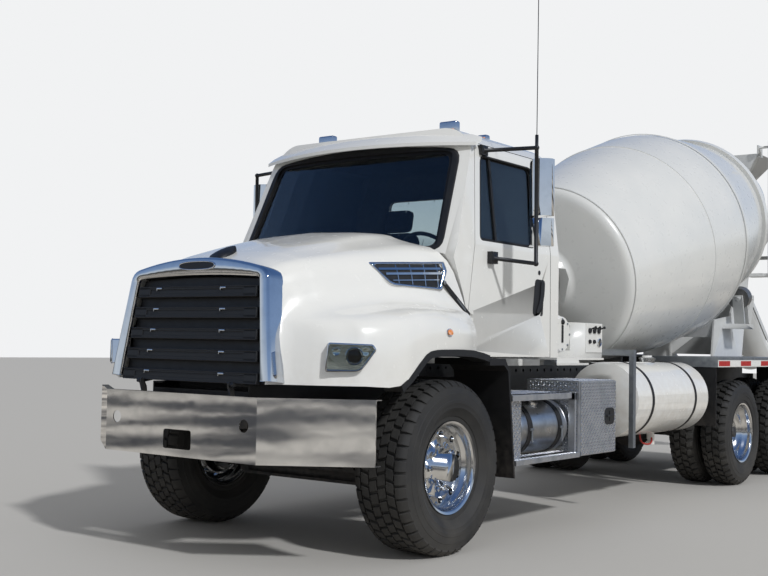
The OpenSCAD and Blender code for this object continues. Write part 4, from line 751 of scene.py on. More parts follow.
# The bonnet's skin. Rows: y, top at the middle, edge of the raised top (x, z), its foot (x, z),
# shoulder (x, z), foot of the side (x, z), edge of the wing (x, z), outer face x, lower edge z
bonnet = {"front": -1200, "rear": 385, "low": 1095, "skin": 12, "pivot": (-1230, 1085), "seam": 1679,
          "noseSlope": 0.1, "cowl": (1600, 0.53), "wingDrop": 90, "rows": [
              (-1200, 1848, 300, 1832, 440, 1808, 575, 1758, 612, 1500, 640, 1440, 660, 1095),
              (-1100, 1862, 310, 1846, 455, 1822, 596, 1776, 640, 1520, 660, 1455, 690, 1095),
              (-1000, 1890, 330, 1878, 475, 1856, 628, 1812, 684, 1535, 850, 1468, 905, 1095),
              (-900, 1918, 350, 1908, 495, 1880, 660, 1835, 728, 1550, 970, 1485, 1035, 1095),
              (-830, 1936, 362, 1927, 508, 1896, 684, 1848, 758, 1562, 1036, 1500, 1108, 1095),
              (-620, 1985, 400, 1974, 540, 1930, 745, 1878, 835, 1590, 1112, 1535, 1212, 1098),
              (-440, 2021, 425, 2009, 562, 1962, 790, 1902, 890, 1605, 1130, 1560, 1216, 1230),
              (-320, 2044, 440, 2031, 575, 1982, 820, 1918, 920, 1610, 1130, 1572, 1216, 1307),
              (-80, 2086, 470, 2071, 600, 2016, 880, 1945, 970, 1612, 1120, 1580, 1205, 1320),
              (180, 2120, 500, 2103, 635, 2046, 950, 1970, 1010, 1605, 1090, 1565, 1175, 1317),
              (385, 2132, 520, 2113, 650, 2052, 985, 1980, 1022, 1600, 1050, 1550, 1110, 1285)]}


def cutCorners(line):
    result = [line[0]]
    for a, b in zip(line, line[1:]):
        result += [a * 0.75 + b * 0.25, a * 0.25 + b * 0.75]
    return result + [line[-1]]


def bonnetOutline(row):
    half = [(0, row[1])] + [(row[k], row[k + 1]) for k in (2, 4, 6, 8, 10)]
    half += [(row[12], row[11] - bonnet["wingDrop"]), (row[12], row[13])]
    half = cutCorners(cutCorners([Vector(q) for q in half]))
    return [Vector((-q.x, q.y)) for q in reversed(half[1:])] + half


def bonnetY(y, z):  # front and rear edges follow the leaning grille and the cab's seam
    share = (y - bonnet["front"]) / (bonnet["rear"] - bonnet["front"])
    (py, pz), (cowlZ, cowlSlope) = bonnet["pivot"], bonnet["cowl"]
    seam = py + math.sqrt(bonnet["seam"] ** 2 - (z - pz) ** 2)
    rear = min(bonnet["rear"], seam, bonnet["rear"] - (z - cowlZ) * cowlSlope)
    return (bonnet["front"] + bonnet["noseSlope"] * (z - bonnet["low"])) * (1 - share) + rear * share


def bonnetRing(row, depth):
    line = bonnetOutline(row)
    ring = []
    for i, q in enumerate(line):
        d = (line[min(i + 1, len(line) - 1)] - line[max(i - 1, 0)]).normalized()
        ring.append((q.x + depth * d.y, bonnetY(row[0], q.y), q.y - depth * d.x))
    return ring


rows = smoothRows(bonnet["rows"], 3)
outside = [bonnetRing(row, 0) for row in rows]
inside = [bonnetRing(row, bonnet["skin"]) for row in rows]
addPiece("smooth_hood", shell(outside + inside[::-1]), "bonnet", whiteEnamel, ["hood"], angle=30)

# The grille leans back with the bonnet's front; depths are measured from its face
grille = {"foot": (-1206, 1095), "bars": 5, "firstBar": 1092, "pitch": 132, "barHeight": 68,
          "clips": ((-366, 9.75), (298, -13)), "clipSize": (50, 10, 11), "clipHook": (8, 12, 20),
          "panelDepth": 52, "panelUp": (0, 0.0993, 0.9951), "rolledEdge": (-9.5, 4, 3),
          "badge": (158, 26, 1818), "badgeDepth": -18}
lean = math.radians(5.7)
upGrille = (0, math.sin(lean), math.cos(lean))


def onGrille(x, y, z):
    y0, z0 = grille["foot"]
    _, s, c = upGrille
    return (x, y0 + y * c + (z - z0) * s, z0 - y * s + (z - z0) * c)


def blockOnGrille(place, size, edge, segments=2):  # a block round a place, leaning with the grille
    mesh = roundedBlock([-v / 2 for v in size], [v / 2 for v in size], edge, segments)
    turn = Matrix.Rotation(-lean, 4, "X")
    mesh.transform(Matrix.Translation(at(*onGrille(*place))) @ turn @ Matrix.Translation(-at(0, 0, 0)))
    return mesh


# Grille surround: a chrome arch that is open below, with eased edges
def grilleFrame(xTop, xLow, zTop, zLow, r, rise):
    arch = [(xTop * i / 8, zTop + rise * (1 - i * i / 64), 0) for i in range(-7, 8)]
    return softened([(-xLow, zLow, 4), (-xTop, zTop, r)] + arch + [(xTop, zTop, r), (xLow, zLow, 4)])


def outerFrame(g):
    return grilleFrame(604 - g, 706 - g, 1790 - g, 1112, 60 - g / 2, 82)


def openingFrame(g):
    return grilleFrame(536 + g, 617 + g, 1738 + g, 1112, 24 + g / 2, 19)


# round its section: which outline, how far that is moved and how deep it lies
section = ((outerFrame, 0, 120), (outerFrame, 0, 2), (outerFrame, 3, -8), (outerFrame, 9, -15),
           (outerFrame, 18, -18), (openingFrame, 12, -16), (openingFrame, 4, -12), (openingFrame, 0, -4),
           (openingFrame, 1, 8), (outerFrame, 12, 8), (outerFrame, 12, 120))
rings = [[onGrille(x, depth, z) for x, z in outline(g)] for outline, g, depth in section]
addPiece("smooth_grille_surround", shell(rings), "bonnet", chrome, ["grille_surround"], angle=42)

# Bars with a sunk slot, rolled edges and two clips each, in front of a dark panel
panelOutline = grilleFrame(530, 622, 1732, 1120, 10, 19)
parts = [plate(panelOutline, onGrille(0, grille["panelDepth"], 0), xAxis, grille["panelUp"], 10)]
clips = []
rolled = []
depth, radius, inset = grille["rolledEdge"]
for i in range(grille["bars"]):
    z = grille["firstBar"] + i * grille["pitch"]
    high = grille["barHeight"]
    top, middle = z + high, z + high / 2
    half = 616 - (top - 1000) * 96 / 738  # the opening narrows upward
    for place, size in (((0, 10, middle), (2 * half, 28, high)), ((0, -7, z + 10), (2 * half, 6, 20)),
                        ((0, -7, top - 9), (2 * half, 6, 18)), ((55 - half, -7, middle), (110, 6, high)),
                        ((half - 55, -7, middle), (110, 6, high)),
                        ((0, 32, middle), (2 * half + 60, 20, high - 8))):
        parts.append(blockOnGrille(place, size, 2, 1))
    for start, step in grille["clips"]:
        x = start + i * step
        clips.append(blockOnGrille((x, -13, top - 12), grille["clipSize"], 3))
        clips.append(blockOnGrille((x - 21, -11, top - 17), grille["clipHook"], 2))
    levels = (z + inset, top - inset)
    lines = [[(6 - half, level), (half - 6, level)] for level in levels]
    lines.append([(half - 5, level) for level in levels])
    rolled += [tube([at(*onGrille(x, depth, level)) for x, level in line], radius, 10) for line in lines]
addPiece("grille_bars_and_panel", parts, "bonnet", blackPlastic, ["grille_bars"])
addPiece("grille_clips", clips, "bonnet", chrome, angle=35)
addPiece("grille_bar_edges", rolled, "bonnet", blackPlastic)

# Bare oval of the badge, with a bright rim
halfWidth, halfHeight, z = grille["badge"]
depth = grille["badgeDepth"]
oval = ellipse(halfWidth, halfHeight, 48, 0.75)
addPiece("badge_plate", plate(oval, onGrille(0, depth, z), xAxis, upGrille, 2.5), "bonnet", blackPlastic)
addPiece("badge_rim", closedTube([onGrille(a, depth - 1.5, z + b) for a, b in oval], 4.5), "bonnet", chrome)
print("grille made")

# Headlamps: chrome body and rim, bright inside, projector, two bright bowls and a clear cover
lamp = {"place": (1042, -891, 1290), "turn": math.radians(43), "face": -26, "projector": (20, -20, 56),
        "bowls": ((-88, 6, 26), (86, 10, 30)),
        "wedges": (((-138, -98), (-62, -98), (-138, -6)), ((-126, 46), (-40, 46), (-108, 34)),
                   ((66, -84), (128, 8), (122, 14), (56, -80)))}
lampAcross = Vector((math.cos(lamp["turn"]), math.sin(lamp["turn"]), 0))
lampOut = Vector((lampAcross.y, -lampAcross.x, 0))


def onLamp(x, y, z):
    return Vector(lamp["place"]) + lampAcross * x - lampOut * y + Vector((0, 0, z))


def lampOutline(g):
    return softened([(-150 - g, -110 - g, 8), (60 + g, -110 - g, 30), (150 + g, 20, 10), (130 + g, 52 + g, 8),
                     (-135 - g, 58 + g, 8)])


def lampPlate(outline, depth, thickness):
    return plate(outline, onLamp(0, depth, 0), lampAcross, zAxis, thickness)


def lampDisc(x, z, rings, corners):
    return disc(onLamp(x, lamp["face"] - 1, z), lampOut, rings, corners)


def addLamps(name, mesh, material, replaced=(), angle=None):
    addPiece("headlamp_" + name, mesh, "bonnet", material, replaced, bothSides=True, angle=angle)


face = lamp["face"]
x, z, r = lamp["projector"]
bright = [closedTube([onLamp(a, face - 3, b) for a, b in lampOutline(-5)], 7),
          lampDisc(x, z, [(r, 0), (r, 8), (r - 5, 10), (r - 9, 5), (r - 12, 3)], 48)]
bright += [lampDisc(a, b, [(c, 0), (c, 5), (c - 4, 6), (c * 0.45, 1.5)], 32) for a, b, c in lamp["bowls"]]
bright += [lampPlate(wedge, face - 1, 3) for wedge in lamp["wedges"]]
dome = lampDisc(x, z, [(r - 12, 0), (r - 12, 3), (r - 17, 7), (r - 27, 9.5), (6, 10.5)], 40)
addLamps("bodies", lampPlate(lampOutline(0), 30, 56), chrome, ["headlamps"])
addLamps("bright_parts", bright, chrome, angle=35)
addLamps("insides", lampPlate(lampOutline(-9), face, 1), polished)
addLamps("projectors", dome, projector)
addLamps("covers", lampPlate(lampOutline(-8), face - 12, 2), screenGlass)

# Amber side lamp on the wing, on its bright base
inward, down = (-1, 0, 0), (0, 0, -1)
beside, above = 1300, 3200  # where lines that look for the bonnet's side or the top of anything start
place, normal = landed("hood", (beside, -90, 1428), inward)
side = Vector((-normal.y, normal.x, 0)).normalized()
up = normal.cross(side)
base = plate(ellipse(38, 25, 32, 0.9), place, side, up, 5, 1.5)
glass = plate(ellipse(31, 19, 32, 0.9), place + normal * 5, side, up, 7, 3)
addPiece("side_lamp_bases", base, "bonnet", chrome, bothSides=True)
addPiece("side_lamps", glass, "bonnet", amberLens, bothSides=True, angle=50)
print("lamps made")

# Windscreen: its black border and the rubber round it as one band. Outlines: half width and setback below,
# half width and height above, how far the top falls to its corners, setback there
screen = {"radius": 3600, "bow": 125, "lean": math.radians(24), "foot": (210, 1970), "sill": 1990,
          "border": (928, 90, 866, 2780, 45, 100), "glass": (890, 60, 820, 2730, 0, 70)}


def onScreen(x, z, t):  # the screen's surface at t mm inside the cab's outer face
    y0, z0 = screen["foot"]
    s, c = math.sin(screen["lean"]), math.cos(screen["lean"])
    v = screen["radius"] - screen["bow"] + t - math.sqrt(screen["radius"] ** 2 - x * x)
    return (x, y0 + v * c + (z - z0 + v * s) / c * s, z)


def screenOutline(kind, g):
    low, lowBack, wide, high, fall, back = screen[kind]
    top = [((wide - g) * k / 4, high - g - fall * k * k / 16, back if abs(k) == 4 else 0)
           for k in range(4, -5, -1)]
    foot = screen["sill"] + g
    return softened([(-low + g, foot, lowBack), (low - g, foot, lowBack)] + top)


def windowEdge(g):
    return softened([(560 + g, 2085 + g, 40), (662 + g, 2700 - g, 60), (1400 - g, 2700 - g, 60),
                     (1330 - g, 2085 + g, 50)])


def doorSide(y, z, t):  # the door's surface at t mm inside its outer face
    return (1020 - t - max(0, z - 2050) * 90 / 720, y, z)


section = (("border", -3, 4), ("border", 0, -4), ("border", 8, -6), ("border", 20, -3), ("glass", 2, -2),
           ("glass", 2, 19), ("glass", 30, 19), ("glass", 30, 18.5))
rings = [[onScreen(a, b, t) for a, b in screenOutline(kind, g)] for kind, g, t in section]
addPiece("screen_rubber", lofted(rings), "chassis", rubber, angle=40)

# Door windows: a round seal, the pane's black edge and the bar between quarter light and window
seal = closedTube([doorSide(a, b, 6) for a, b in windowEdge(2)], 9)
edge = lofted([[doorSide(a, b, 21.4) for a, b in windowEdge(g)] for g in (2, 20)])
bar = [[(x + dx, y + dy, z) for dx, dy in ((-8, -13), (6, -13), (6, 13), (-8, 13))]
       for x, y, z in (doorSide(792, 2092, 17), doorSide(800, 2694, 17))]
addToDoors("window_rubber", [seal, edge, lofted(bar, capped=True)], rubber)

# Door handles: a black cup with its lever, and the lock above
cup = softened([(1298, 1582, 40), (1392, 1578, 60), (1474, 1690, 90), (1484, 1852, 34), (1334, 1856, 34)])
lever = softened([(1340, 1600, 16), (1388, 1598, 20), (1452, 1700, 50), (1462, 1838, 16), (1414, 1842, 16),
                  (1402, 1710, 50)])
lock = disc((1019.5, 1392, 1905), xAxis, [(17, 0), (17, 4), (13, 5)], 24)
addToDoors("door_grip", [sidePlate(cup, 1019.5, 3, 1), sidePlate(lever, 1022, 9, 3), lock], blackPlastic)

wipers = {"foot": 2000, "blade": 2052, "reach": 300, "spindles": ((700, 330), (20, -350))}


def wiper(x0, x1):  # arm from its spindle at x0 to the middle of the blade, which lies towards x1
    foot = Vector(onScreen(x0, wipers["foot"], -4))
    middle = Vector(onScreen((x0 + 2 * x1) / 3, wipers["blade"], -12))
    arm = tube([at(*q) for q in (foot, foot.lerp(middle, 0.5) + Vector((0, -8, 8)), middle)], 6, 8)
    ends = [onScreen(x1 + s * wipers["reach"], wipers["blade"] + s * 4, -5) for s in (-1, -0.33, 0.33, 1)]
    spindle = disc(foot, (0, -0.4, 0.9), [(16, -8), (16, 8), (9, 14)], 20)
    return joined([arm, tube([at(*q) for q in ends], 7, 8), spindle])


addPiece("wipers", [wiper(*row) for row in wipers["spindles"]], "chassis", blackPlastic)

# Black lens-shaped intake on the bonnet's top
intake = {"front": -1076, "step": 32, "rings": 9, "corners": 12, "halfWidth": 72, "height": 46, "sink": 3,
          "surroundEnds": -990}
rings = []
for k in range(intake["rings"]):
    y = intake["front"] + intake["step"] * k
    q, _ = landed("hood" if y > intake["surroundEnds"] else "grille_surround", (0, y, above), down)
    share = k / (intake["rings"] - 1)
    wide = intake["halfWidth"] * math.sin(math.pi * (0.06 + 0.88 * share)) ** 0.8
    high = intake["height"] * math.sin(math.pi * (0.05 + 0.6 * share)) ** 1.2
    turns = [math.pi * i / (intake["corners"] - 1) for i in range(intake["corners"])]
    rings.append([(q.x + wide * math.cos(a), q.y, q.z - intake["sink"] + high * math.sin(a)) for a in turns])
addPiece("bonnet_intake", lofted(rings, capped=True, closed=False), "bonnet", blackPlastic, angle=50)

# Rubber latch straps between bonnet and cab, each with a stud and a slot
top, normal = landed("hood", (beside, 128, 1768), inward)
foot = Vector((1021, 396, 1550))
across = (foot - top).normalized()
out = (normal + Vector(xAxis)).normalized()
along = out.cross(across).normalized()
length = (foot - top).length
shape = softened([(0, -13, 8), (length * 0.45, -17, 20), (length, -20, 12), (length, 20, 12),
                  (length * 0.45, 17, 20), (0, 13, 8)])
slot = softened([(length * 0.5, -6, 4), (length * 0.85, -7, 4), (length * 0.85, 7, 4), (length * 0.5, 6, 4)])
studs = [disc(top + across * 14 + out * 2, out, [(13, 0), (13, 26), (8, 29)], 20),
         plate(slot, top + out * 24.4, across, along, 1.5)]
strap = plate(shape, top + out * 10, across, along, 14, 3)
addPiece("bonnet_straps", strap, "bonnet", rubber, bothSides=True)
addPiece("bonnet_strap_studs", studs, "bonnet", steel, bothSides=True)

# Vents in the bonnet's sides: chrome frame and slats over a dark opening, all of them following the skin
vent = {"stations": 24, "rows": 6, "slats": ((1843, 14), (1811, 14), (1772, 6)), "slatDrop": 26,
        "slatStart": -420, "slatRise": 34 / 580, "uprights": (-240, -130, -20, 90),
        "frame": ((36, -2), (36, 6), (32, 11), (24, 14), (12, 14), (4, 11), (0, 5), (0, 1))}


def ventOutline(g):
    return softened([(-412 - 0.7 * g, 1852 + 0.4 * g, 30), (140 + g, 1886 + 0.6 * g, 10), (150 + g, 1848, 8),
                     (100 + 0.6 * g, 1728 - 0.6 * g, 16), (-300 - 0.5 * g, 1742 - 0.6 * g, 44)])


def onSide(y, z, proud):  # a place that stands proud of the bonnet's left side
    return (landed("hood", (beside, y, z), inward)[0].x + proud, y, z)


def ventLimits(y):  # lowest and highest z of the opening at y
    line = ventOutline(0)
    hits = [z0 + (z1 - z0) * (y - y0) / (y1 - y0) for (y0, z0), (y1, z1) in zip(line, line[1:] + line[:1])
            if (y0 - y) * (y1 - y) <= 0 and y0 != y1]
    return min(hits), max(hits)


rings = [[onSide(y, z, proud) for y, z in ventOutline(g)] for g, proud in vent["frame"]]
frames = [smooth(lofted(rings), 50)]
ends = [y for y, z in ventOutline(0)]
start, reach = min(ends) + 0.5, max(ends) - min(ends) - 1
stations = [start + reach * k / vent["stations"] for k in range(vent["stations"] + 1)]
limits = [ventLimits(y) for y in stations]
rings = [[onSide(y, low + (high - low) * k / vent["rows"], 1.5) for k in range(vent["rows"] + 1)]
         for y, (low, high) in zip(stations, limits)]
addPiece("vent_openings", lofted(rings, closed=False), "bonnet", blackPlastic, bothSides=True)
for start, high in vent["slats"]:
    rings = []
    for y, (low, top) in zip(stations, limits):
        z = start - vent["slatDrop"] + (y - vent["slatStart"]) * vent["slatRise"]
        if low < z and z + high < top:
            rings.append([onSide(y, z + a, proud) for a, proud in ((0, 9), (high, 9), (high, 5), (0, 5))])
    frames.append(lofted(rings, capped=True))
for y in vent["uprights"]:
    low, top = ventLimits(y)
    corners = ((0, 6), (6, 6), (6, 3), (0, 3))
    rings = [[onSide(y + a, low + (top - low) * k / 4, proud) for a, proud in corners] for k in range(5)]
    frames.append(lofted(rings, capped=True))
addPiece("smooth_side_vents", frames, "bonnet", chrome, ["side_vents"], bothSides=True)

# Sun visor: a thin blade, bowed in plan, on ribs
visor = {"half": 984, "bow": 2500, "front": 340, "end": 612, "fall": 16, "stations": 12, "ribPitch": 165,
         "upper": ((340, 2788), (450, 2862), (590, 2908), (760, 2944)),
         "lower": ((340, 2764), (440, 2822), (590, 2874), (760, 2896)),
         "rib": ((415, 2788), (440, 2826), (560, 2866), (600, 2866), (600, 2762), (500, 2762)),
         "ribWidth": 24}


def visorBack(x):  # how far its front edge lies back at x
    return visor["bow"] - math.sqrt(visor["bow"] ** 2 - x * x)


rings = []
for share in (k / visor["stations"] for k in range(-visor["stations"], visor["stations"] + 1)):
    x = visor["half"] * share
    back = visorBack(x)
    drop = visor["fall"] * share ** 2
    reach = max(visor["end"] - visor["front"] - back, 20)
    spots = [visor["front"] + reach * t for t in (0, 0.12, 0.3, 0.5, 0.75, 1)]
    rings.append([(x, y + back, valueAt(visor["upper"], y) - drop) for y in spots]
                 + [(x, y + back, valueAt(visor["lower"], y) - drop) for y in reversed(spots)])
parts = [lofted(rings, capped=True)]
for x in (k * visor["ribPitch"] for k in range(-5, 6, 2)):
    place = (x - visor["ribWidth"] / 2, visorBack(x), 0)
    parts.append(plate(visor["rib"], place, yAxis, zAxis, visor["ribWidth"]))
addPiece("visor_blade", parts, "chassis", whiteEnamel, ["sun_visor"], angle=35)

# Roof lamps: x, y, width, length and top of each housing, width of its lens
roofLamps = ((584, 800, 150, 64, 2998, 124), (640, 1180, 90, 60, 2952, 70))
housings = []
lenses = []
for x, y, wide, long, top, lensWide in roofLamps:
    z = landed("cab_shell", (x, y, above), down)[0].z
    front = y - long / 2
    housings.append(roundedBlock((x - wide / 2, front, z - 16), (x + wide / 2, y + long / 2, top), 14, 3))
    half = lensWide / 2
    lenses.append(roundedBlock((x - half, front - 14, z + 2), (x + half, front + 4, z + 24), 4))
addPiece("roof_lamp_housings", housings, "chassis", polished, bothSides=True, angle=35)
addPiece("roof_lamp_lenses", lenses, "chassis", amberLens, bothSides=True, angle=40)

# Steps of folded plate: corner, far corner and lip of each; the battery box and brackets between them
steps = (((730, 700, 1010), (1210, 1576), 43), ((1010, 760, 555), (1210, 1718), 37))
fold = 6
parts = []
for (x0, y0, top), (x1, y1), lip in steps:
    parts += blocks(((x0, y0, top - fold), (x1, y1, top), 1.5),
                    ((x1 - fold, y0, top - lip), (x1, y1, top - 3), 1.5),
                    ((x0, y0, top - lip), (x1, y0 + fold, top - 3), 1.5),
                    ((x0, y1 - fold, top - lip), (x1, y1, top - 3), 1.5))
parts += blocks(((780, 765, 549), (1150, 930, 1004), 5), ((1120, 1688, 549), (1180, 1712, 1010), 3),
                ((430, 1688, 950), (1180, 1712, 1004), 2), ((430, 934, 900), (760, 958, 1004), 2),
                ((430, 1540, 900), (760, 1564, 1004), 2))
addPiece("folded_steps", parts, "chassis", plateMetal, ["cab_steps"], bothSides=True)
grips = ((1140, 1010, (730, 1020, 1310)), (1090, 555, (790, 1110, 1430)))
strips = [roundedBlock((x, y, top), (x + 60, y + 240, top + 3), 1) for x, top, spots in grips for y in spots]
addPiece("step_grip_strips", strips, "chassis", rubber, bothSides=True)

# Fuel tanks with dished ends, welded seams, filler necks and caps
tank = {"x": 925, "z": 750, "radius": 200, "ends": (992, 1668), "dish": 30, "seam": 201.5,
        "brackets": (1200, 1440), "filler": (1010, 1300, 915), "plugs": (1130, 1470), "straps": (1105, 1555)}
r = tank["radius"]
y0, y1 = tank["ends"]
half = [(r * math.sin(math.pi / 16 * k), tank["dish"] * math.cos(math.pi / 16 * k)) for k in range(9)]
seam = [(tank["seam"], 14), (tank["seam"], 20), (r, 22)]
section = [(q, y0 - d) for q, d in half] + [(q, y0 + d) for q, d in seam]
section += [(q, y1 - d) for q, d in reversed(seam)] + [(q, y1 + d) for q, d in reversed(half)]
quarterTurn = Matrix.Rotation(math.pi / 2, 4, "Z")
shellOfTank = turned(section, 96)
shellOfTank.transform(Matrix.Translation(at(tank["x"], 0, tank["z"])) @ quarterTurn)
parts = [smooth(shellOfTank, 30)]
parts += [roundedBlock((430, y, 720), (745, y + 50, 810), 2) for y in tank["brackets"]]
addPiece("smooth_fuel_tanks", parts, "chassis", brushed, ["fuel_tanks"], bothSides=True)
caps = [disc(tank["filler"], (0.42, 0, 0.9), [(52, -12), (52, 14), (44, 16), (44, 34), (38, 40)], 40)]
caps += [disc((tank["x"], y, 962), zAxis, [(14, -14), (14, 8), (9, 12)], 16) for y in tank["plugs"]]
addPiece("tank_caps", caps, "chassis", polished, bothSides=True)
buckles = []
for y in tank["straps"]:
    buckles.append(roundedBlock((1132, y - 22, 742), (1146, y + 22, 760), 3))
    buckles.append(disc((1140, y, 700), zAxis, [(7, -40), (7, 40)], 10))
addPiece("strap_buckles", buckles, "chassis", zinc, bothSides=True)
print("windows and front trim made")

# Treads of raised lozenges: a grid of small bars that lean left and right in turn
lozengeTree, given = newTree("tread_plate", {"Part": "Object", "Width": "Float", "Height": "Float",
                                             "Columns": "Int", "Rows": "Int", "Finish": "Material"})
grid = addNode(lozengeTree, "GeometryNodeMeshGrid",
               {"Size X": given["Width"], "Size Y": given["Height"],
                "Vertices X": given["Columns"], "Vertices Y": given["Rows"]}).outputs[0]
number = addNode(lozengeTree, "GeometryNodeInputIndex").outputs[0]
column = maths(lozengeTree, "FLOOR", maths(lozengeTree, "DIVIDE", number, given["Rows"]))
row = maths(lozengeTree, "MODULO", number, given["Rows"])
odd = maths(lozengeTree, "MODULO", maths(lozengeTree, "ADD", column, row), 2)
turn = maths(lozengeTree, "MULTIPLY_ADD", odd, math.pi / 2, math.pi / 4)
turn = addNode(lozengeTree, "ShaderNodeCombineXYZ", {"Z": turn}).outputs[0]
closeTree(lozengeTree, given, grid, turn)

lozenge = {"length": 27, "width": 8, "height": 2.4, "taper": 0.7, "pitch": 24, "margin": 10,
           "outline": ((-0.5, 0), (-0.2, -0.5), (0.2, -0.5), (0.5, 0), (0.2, 0.5), (-0.2, 0.5))}


def lozengeMesh():  # open below
    points = [(a * lozenge["length"] * share / 1000, b * lozenge["width"] * share / 1000, z / 1000)
              for share, z in ((1, 0), (lozenge["taper"], lozenge["height"])) for a, b in lozenge["outline"]]
    mesh = bpy.data.meshes.new("lozenge")
    mesh.from_pydata(points, [], [tuple(range(6, 12))] + ringFaces(2, 6))
    return mesh


oneLozenge = lozengeMesh()


def treadPlate(corner, across, along, width, height):  # lozenges on a face with that corner and those sides
    pitch = lozenge["pitch"]
    columns, rows = (max(2, int((v - 2 * lozenge["margin"]) / pitch) + 1) for v in (width, height))
    reach = {"Width": (columns - 1) * pitch / 1000, "Height": (rows - 1) * pitch / 1000}
    mesh = grown(lozengeTree, oneLozenge, {**reach, "Columns": columns, "Rows": rows, "Finish": plateMetal})
    across, along = Vector(across), Vector(along)
    facing = Matrix((across, along, across.cross(along))).transposed().to_4x4()
    mesh.transform(Matrix.Translation(at(*corner) + (across * width + along * height) / 2000) @ facing)
    return mesh


plates = {  # corner, two directions whose cross product the face points along, width, height
    "upperStep": ((735, 704, 1010), xAxis, yAxis, 400, 868),
    "lowerStep": ((1014, 764, 555), xAxis, yAxis, 72, 950),
    "lowerStepEdge": ((1152, 764, 555), xAxis, yAxis, 56, 950),
    "quarterPanel": ((1150, 767, 560), yAxis, zAxis, 160, 430),
    "boxFront": ((742, 1725, 530), xAxis, zAxis, 450, 560),
    "boxTop": ((742, 1730, 1095), xAxis, yAxis, 448, 600)}
raised = [treadPlate(*row) for row in plates.values()]
addPiece("tread_plate_lozenges", raised, "chassis", polished, bothSides=True)
lid = treadPlate((1210, 1731, 528), yAxis, zAxis, 598, 561)
addPiece("toolbox_lid_lozenges", lid, "toolbox_lid", polished)
print("tread plates made")

# Oil tank's round cover with its sight strip and bolts
cover = {"place": (945, 1890, 1452), "radius": 139, "boltRadius": 118, "bolts": 8}
x, y, z = cover["place"]
r, boltRadius = cover["radius"], cover["boltRadius"]
lid = disc(cover["place"], xAxis, [(r, -2), (r, 5), (r - 7, 10), (0.5, 10)], 64)
addPiece("oil_tank_cover", lid, "chassis", whiteEnamel)
turns = [2 * math.pi * k / cover["bolts"] for k in range(cover["bolts"])]
places = [(x + 10, y + boltRadius * math.cos(a), z + boltRadius * math.sin(a)) for a in turns]
bolts = [disc(q, xAxis, [(9, -2), (9, 5), (6, 7)], 12) for q in places]
addPiece("oil_tank_bolts", bolts, "chassis", zinc)
strip = [roundedBlock((x + 8, y - 12, z - 66), (x + 18, y + 12, z + 72), 3),
         disc((x + 8, y, z + 96), xAxis, [(20, 0), (20, 14), (14, 18)], 20)]
addPiece("oil_sight_strip", strip, "chassis", blackPlastic)

# Control box: its faces, knobs of (y, z, radius), levers and gauge
control = {"x": 956, "knobs": ((2360, 1490, 22), (2440, 1490, 22), (2520, 1490, 22), (2360, 1400, 17),
                               (2440, 1400, 17)), "levers": (2360, 2440, 2520), "leverHeight": 1498}
x = control["x"]
faces = blocks(((949, 2303, 1309), (x, 2597, 1549), 4), ((700, 2118, 1330), (905, 2121, 1530), 1))
addPiece("control_box_faces", faces, "chassis", whiteEnamel)
knobs = [disc((x, y, z), xAxis, [(r, 0), (r, 10), (r - 4, 16)], 24) for y, z, r in control["knobs"]]
lever = [(6, 0), (6, 46), (11, 52), (11, 62), (6, 66)]
knobs += [disc((x, y, control["leverHeight"]), (1, 0.2, 0.4), lever, 14) for y in control["levers"]]
addPiece("control_knobs", knobs, "chassis", blackPlastic)
gauge = disc((x, 2530, 1395), xAxis, [(34, 0), (34, 12), (29, 14), (29, 9), (0.5, 9)], 36)
addPiece("control_gauge", gauge, "chassis", chrome)

# Toolbox latch: a recessed oval cup with its folding handle
cup = softened([(2129, 745, 50), (2302, 745, 50), (2302, 878, 50), (2129, 878, 50)])
handle = blocks(((1212, 2160, 802), (1222, 2272, 822), 4), ((1212, 2206, 770), (1220, 2226, 854), 4))
addPiece("toolbox_latch", [sidePlate(cup, 1210, 4, 1.5)] + handle, "toolbox_lid", blackPlastic)

# White edge of the decks with red and white reflecting tape on it
deckEdge = {"x": 1220, "from": 4546, "to": 7556, "low": 1188, "high": 1256, "tape": 300, "tapeStart": 20,
            "inset": 9}
x, tape = deckEdge["x"], deckEdge["tape"]
edge = roundedBlock((x - 3, deckEdge["from"], deckEdge["low"]), (x + 2, deckEdge["to"], deckEdge["high"]), 1)
addPiece("deck_edges", edge, "chassis", whiteEnamel, bothSides=True)
count = int((deckEdge["to"] - deckEdge["from"]) / tape)
low, high = deckEdge["low"] + deckEdge["inset"], deckEdge["high"] - deckEdge["inset"]
for name, material, first in (("red_tape", redTape, 0), ("white_tape", whiteTape, 1)):
    starts = [deckEdge["from"] + k * tape + deckEdge["tapeStart"] for k in range(first, count, 2)]
    pieces = blocks(*[((x + 1.5, y, low), (x + 2.6, y + tape, high)) for y in starts])
    addPiece(name, pieces, "chassis", material, bothSides=True)

# Weld seams round the drum: place along its axis and radius of each
drum = {"slope": math.radians(14.66), "place": (0, 4000, 2155),
        "seams": ((-578, 874.5), (823, 1100), (1593, 1150))}
seams = []
slope = Matrix.Rotation(drum["slope"], 4, "X")
for s, r in drum["seams"]:
    ring = turned([(r - 6, s - 12), (r + 1, s - 9), (r + 2.5, s), (r + 1, s + 9), (r - 6, s + 12)], 96)
    ring.transform(Matrix.Translation(at(*drum["place"])) @ slope @ quarterTurn)
    seams.append(smooth(ring, 40))
addPiece("drum_seams", seams, bodyOf["drum_shell"], drumEnamel)

# Filler cap and outlet of the water tank
filler = disc((868, 3700, 1222), zAxis, [(70, 0), (70, 28), (78, 30), (78, 44), (60, 52), (30, 56)], 40)
addPiece("water_filler_cap", filler, "chassis", polished)
outlet = [(34, 0), (34, 40), (28, 42), (28, 80), (38, 84), (38, 112), (30, 116)]
addPiece("water_outlet", disc((868, 3790, 585), down, outlet, 28), "chassis", whiteEnamel)

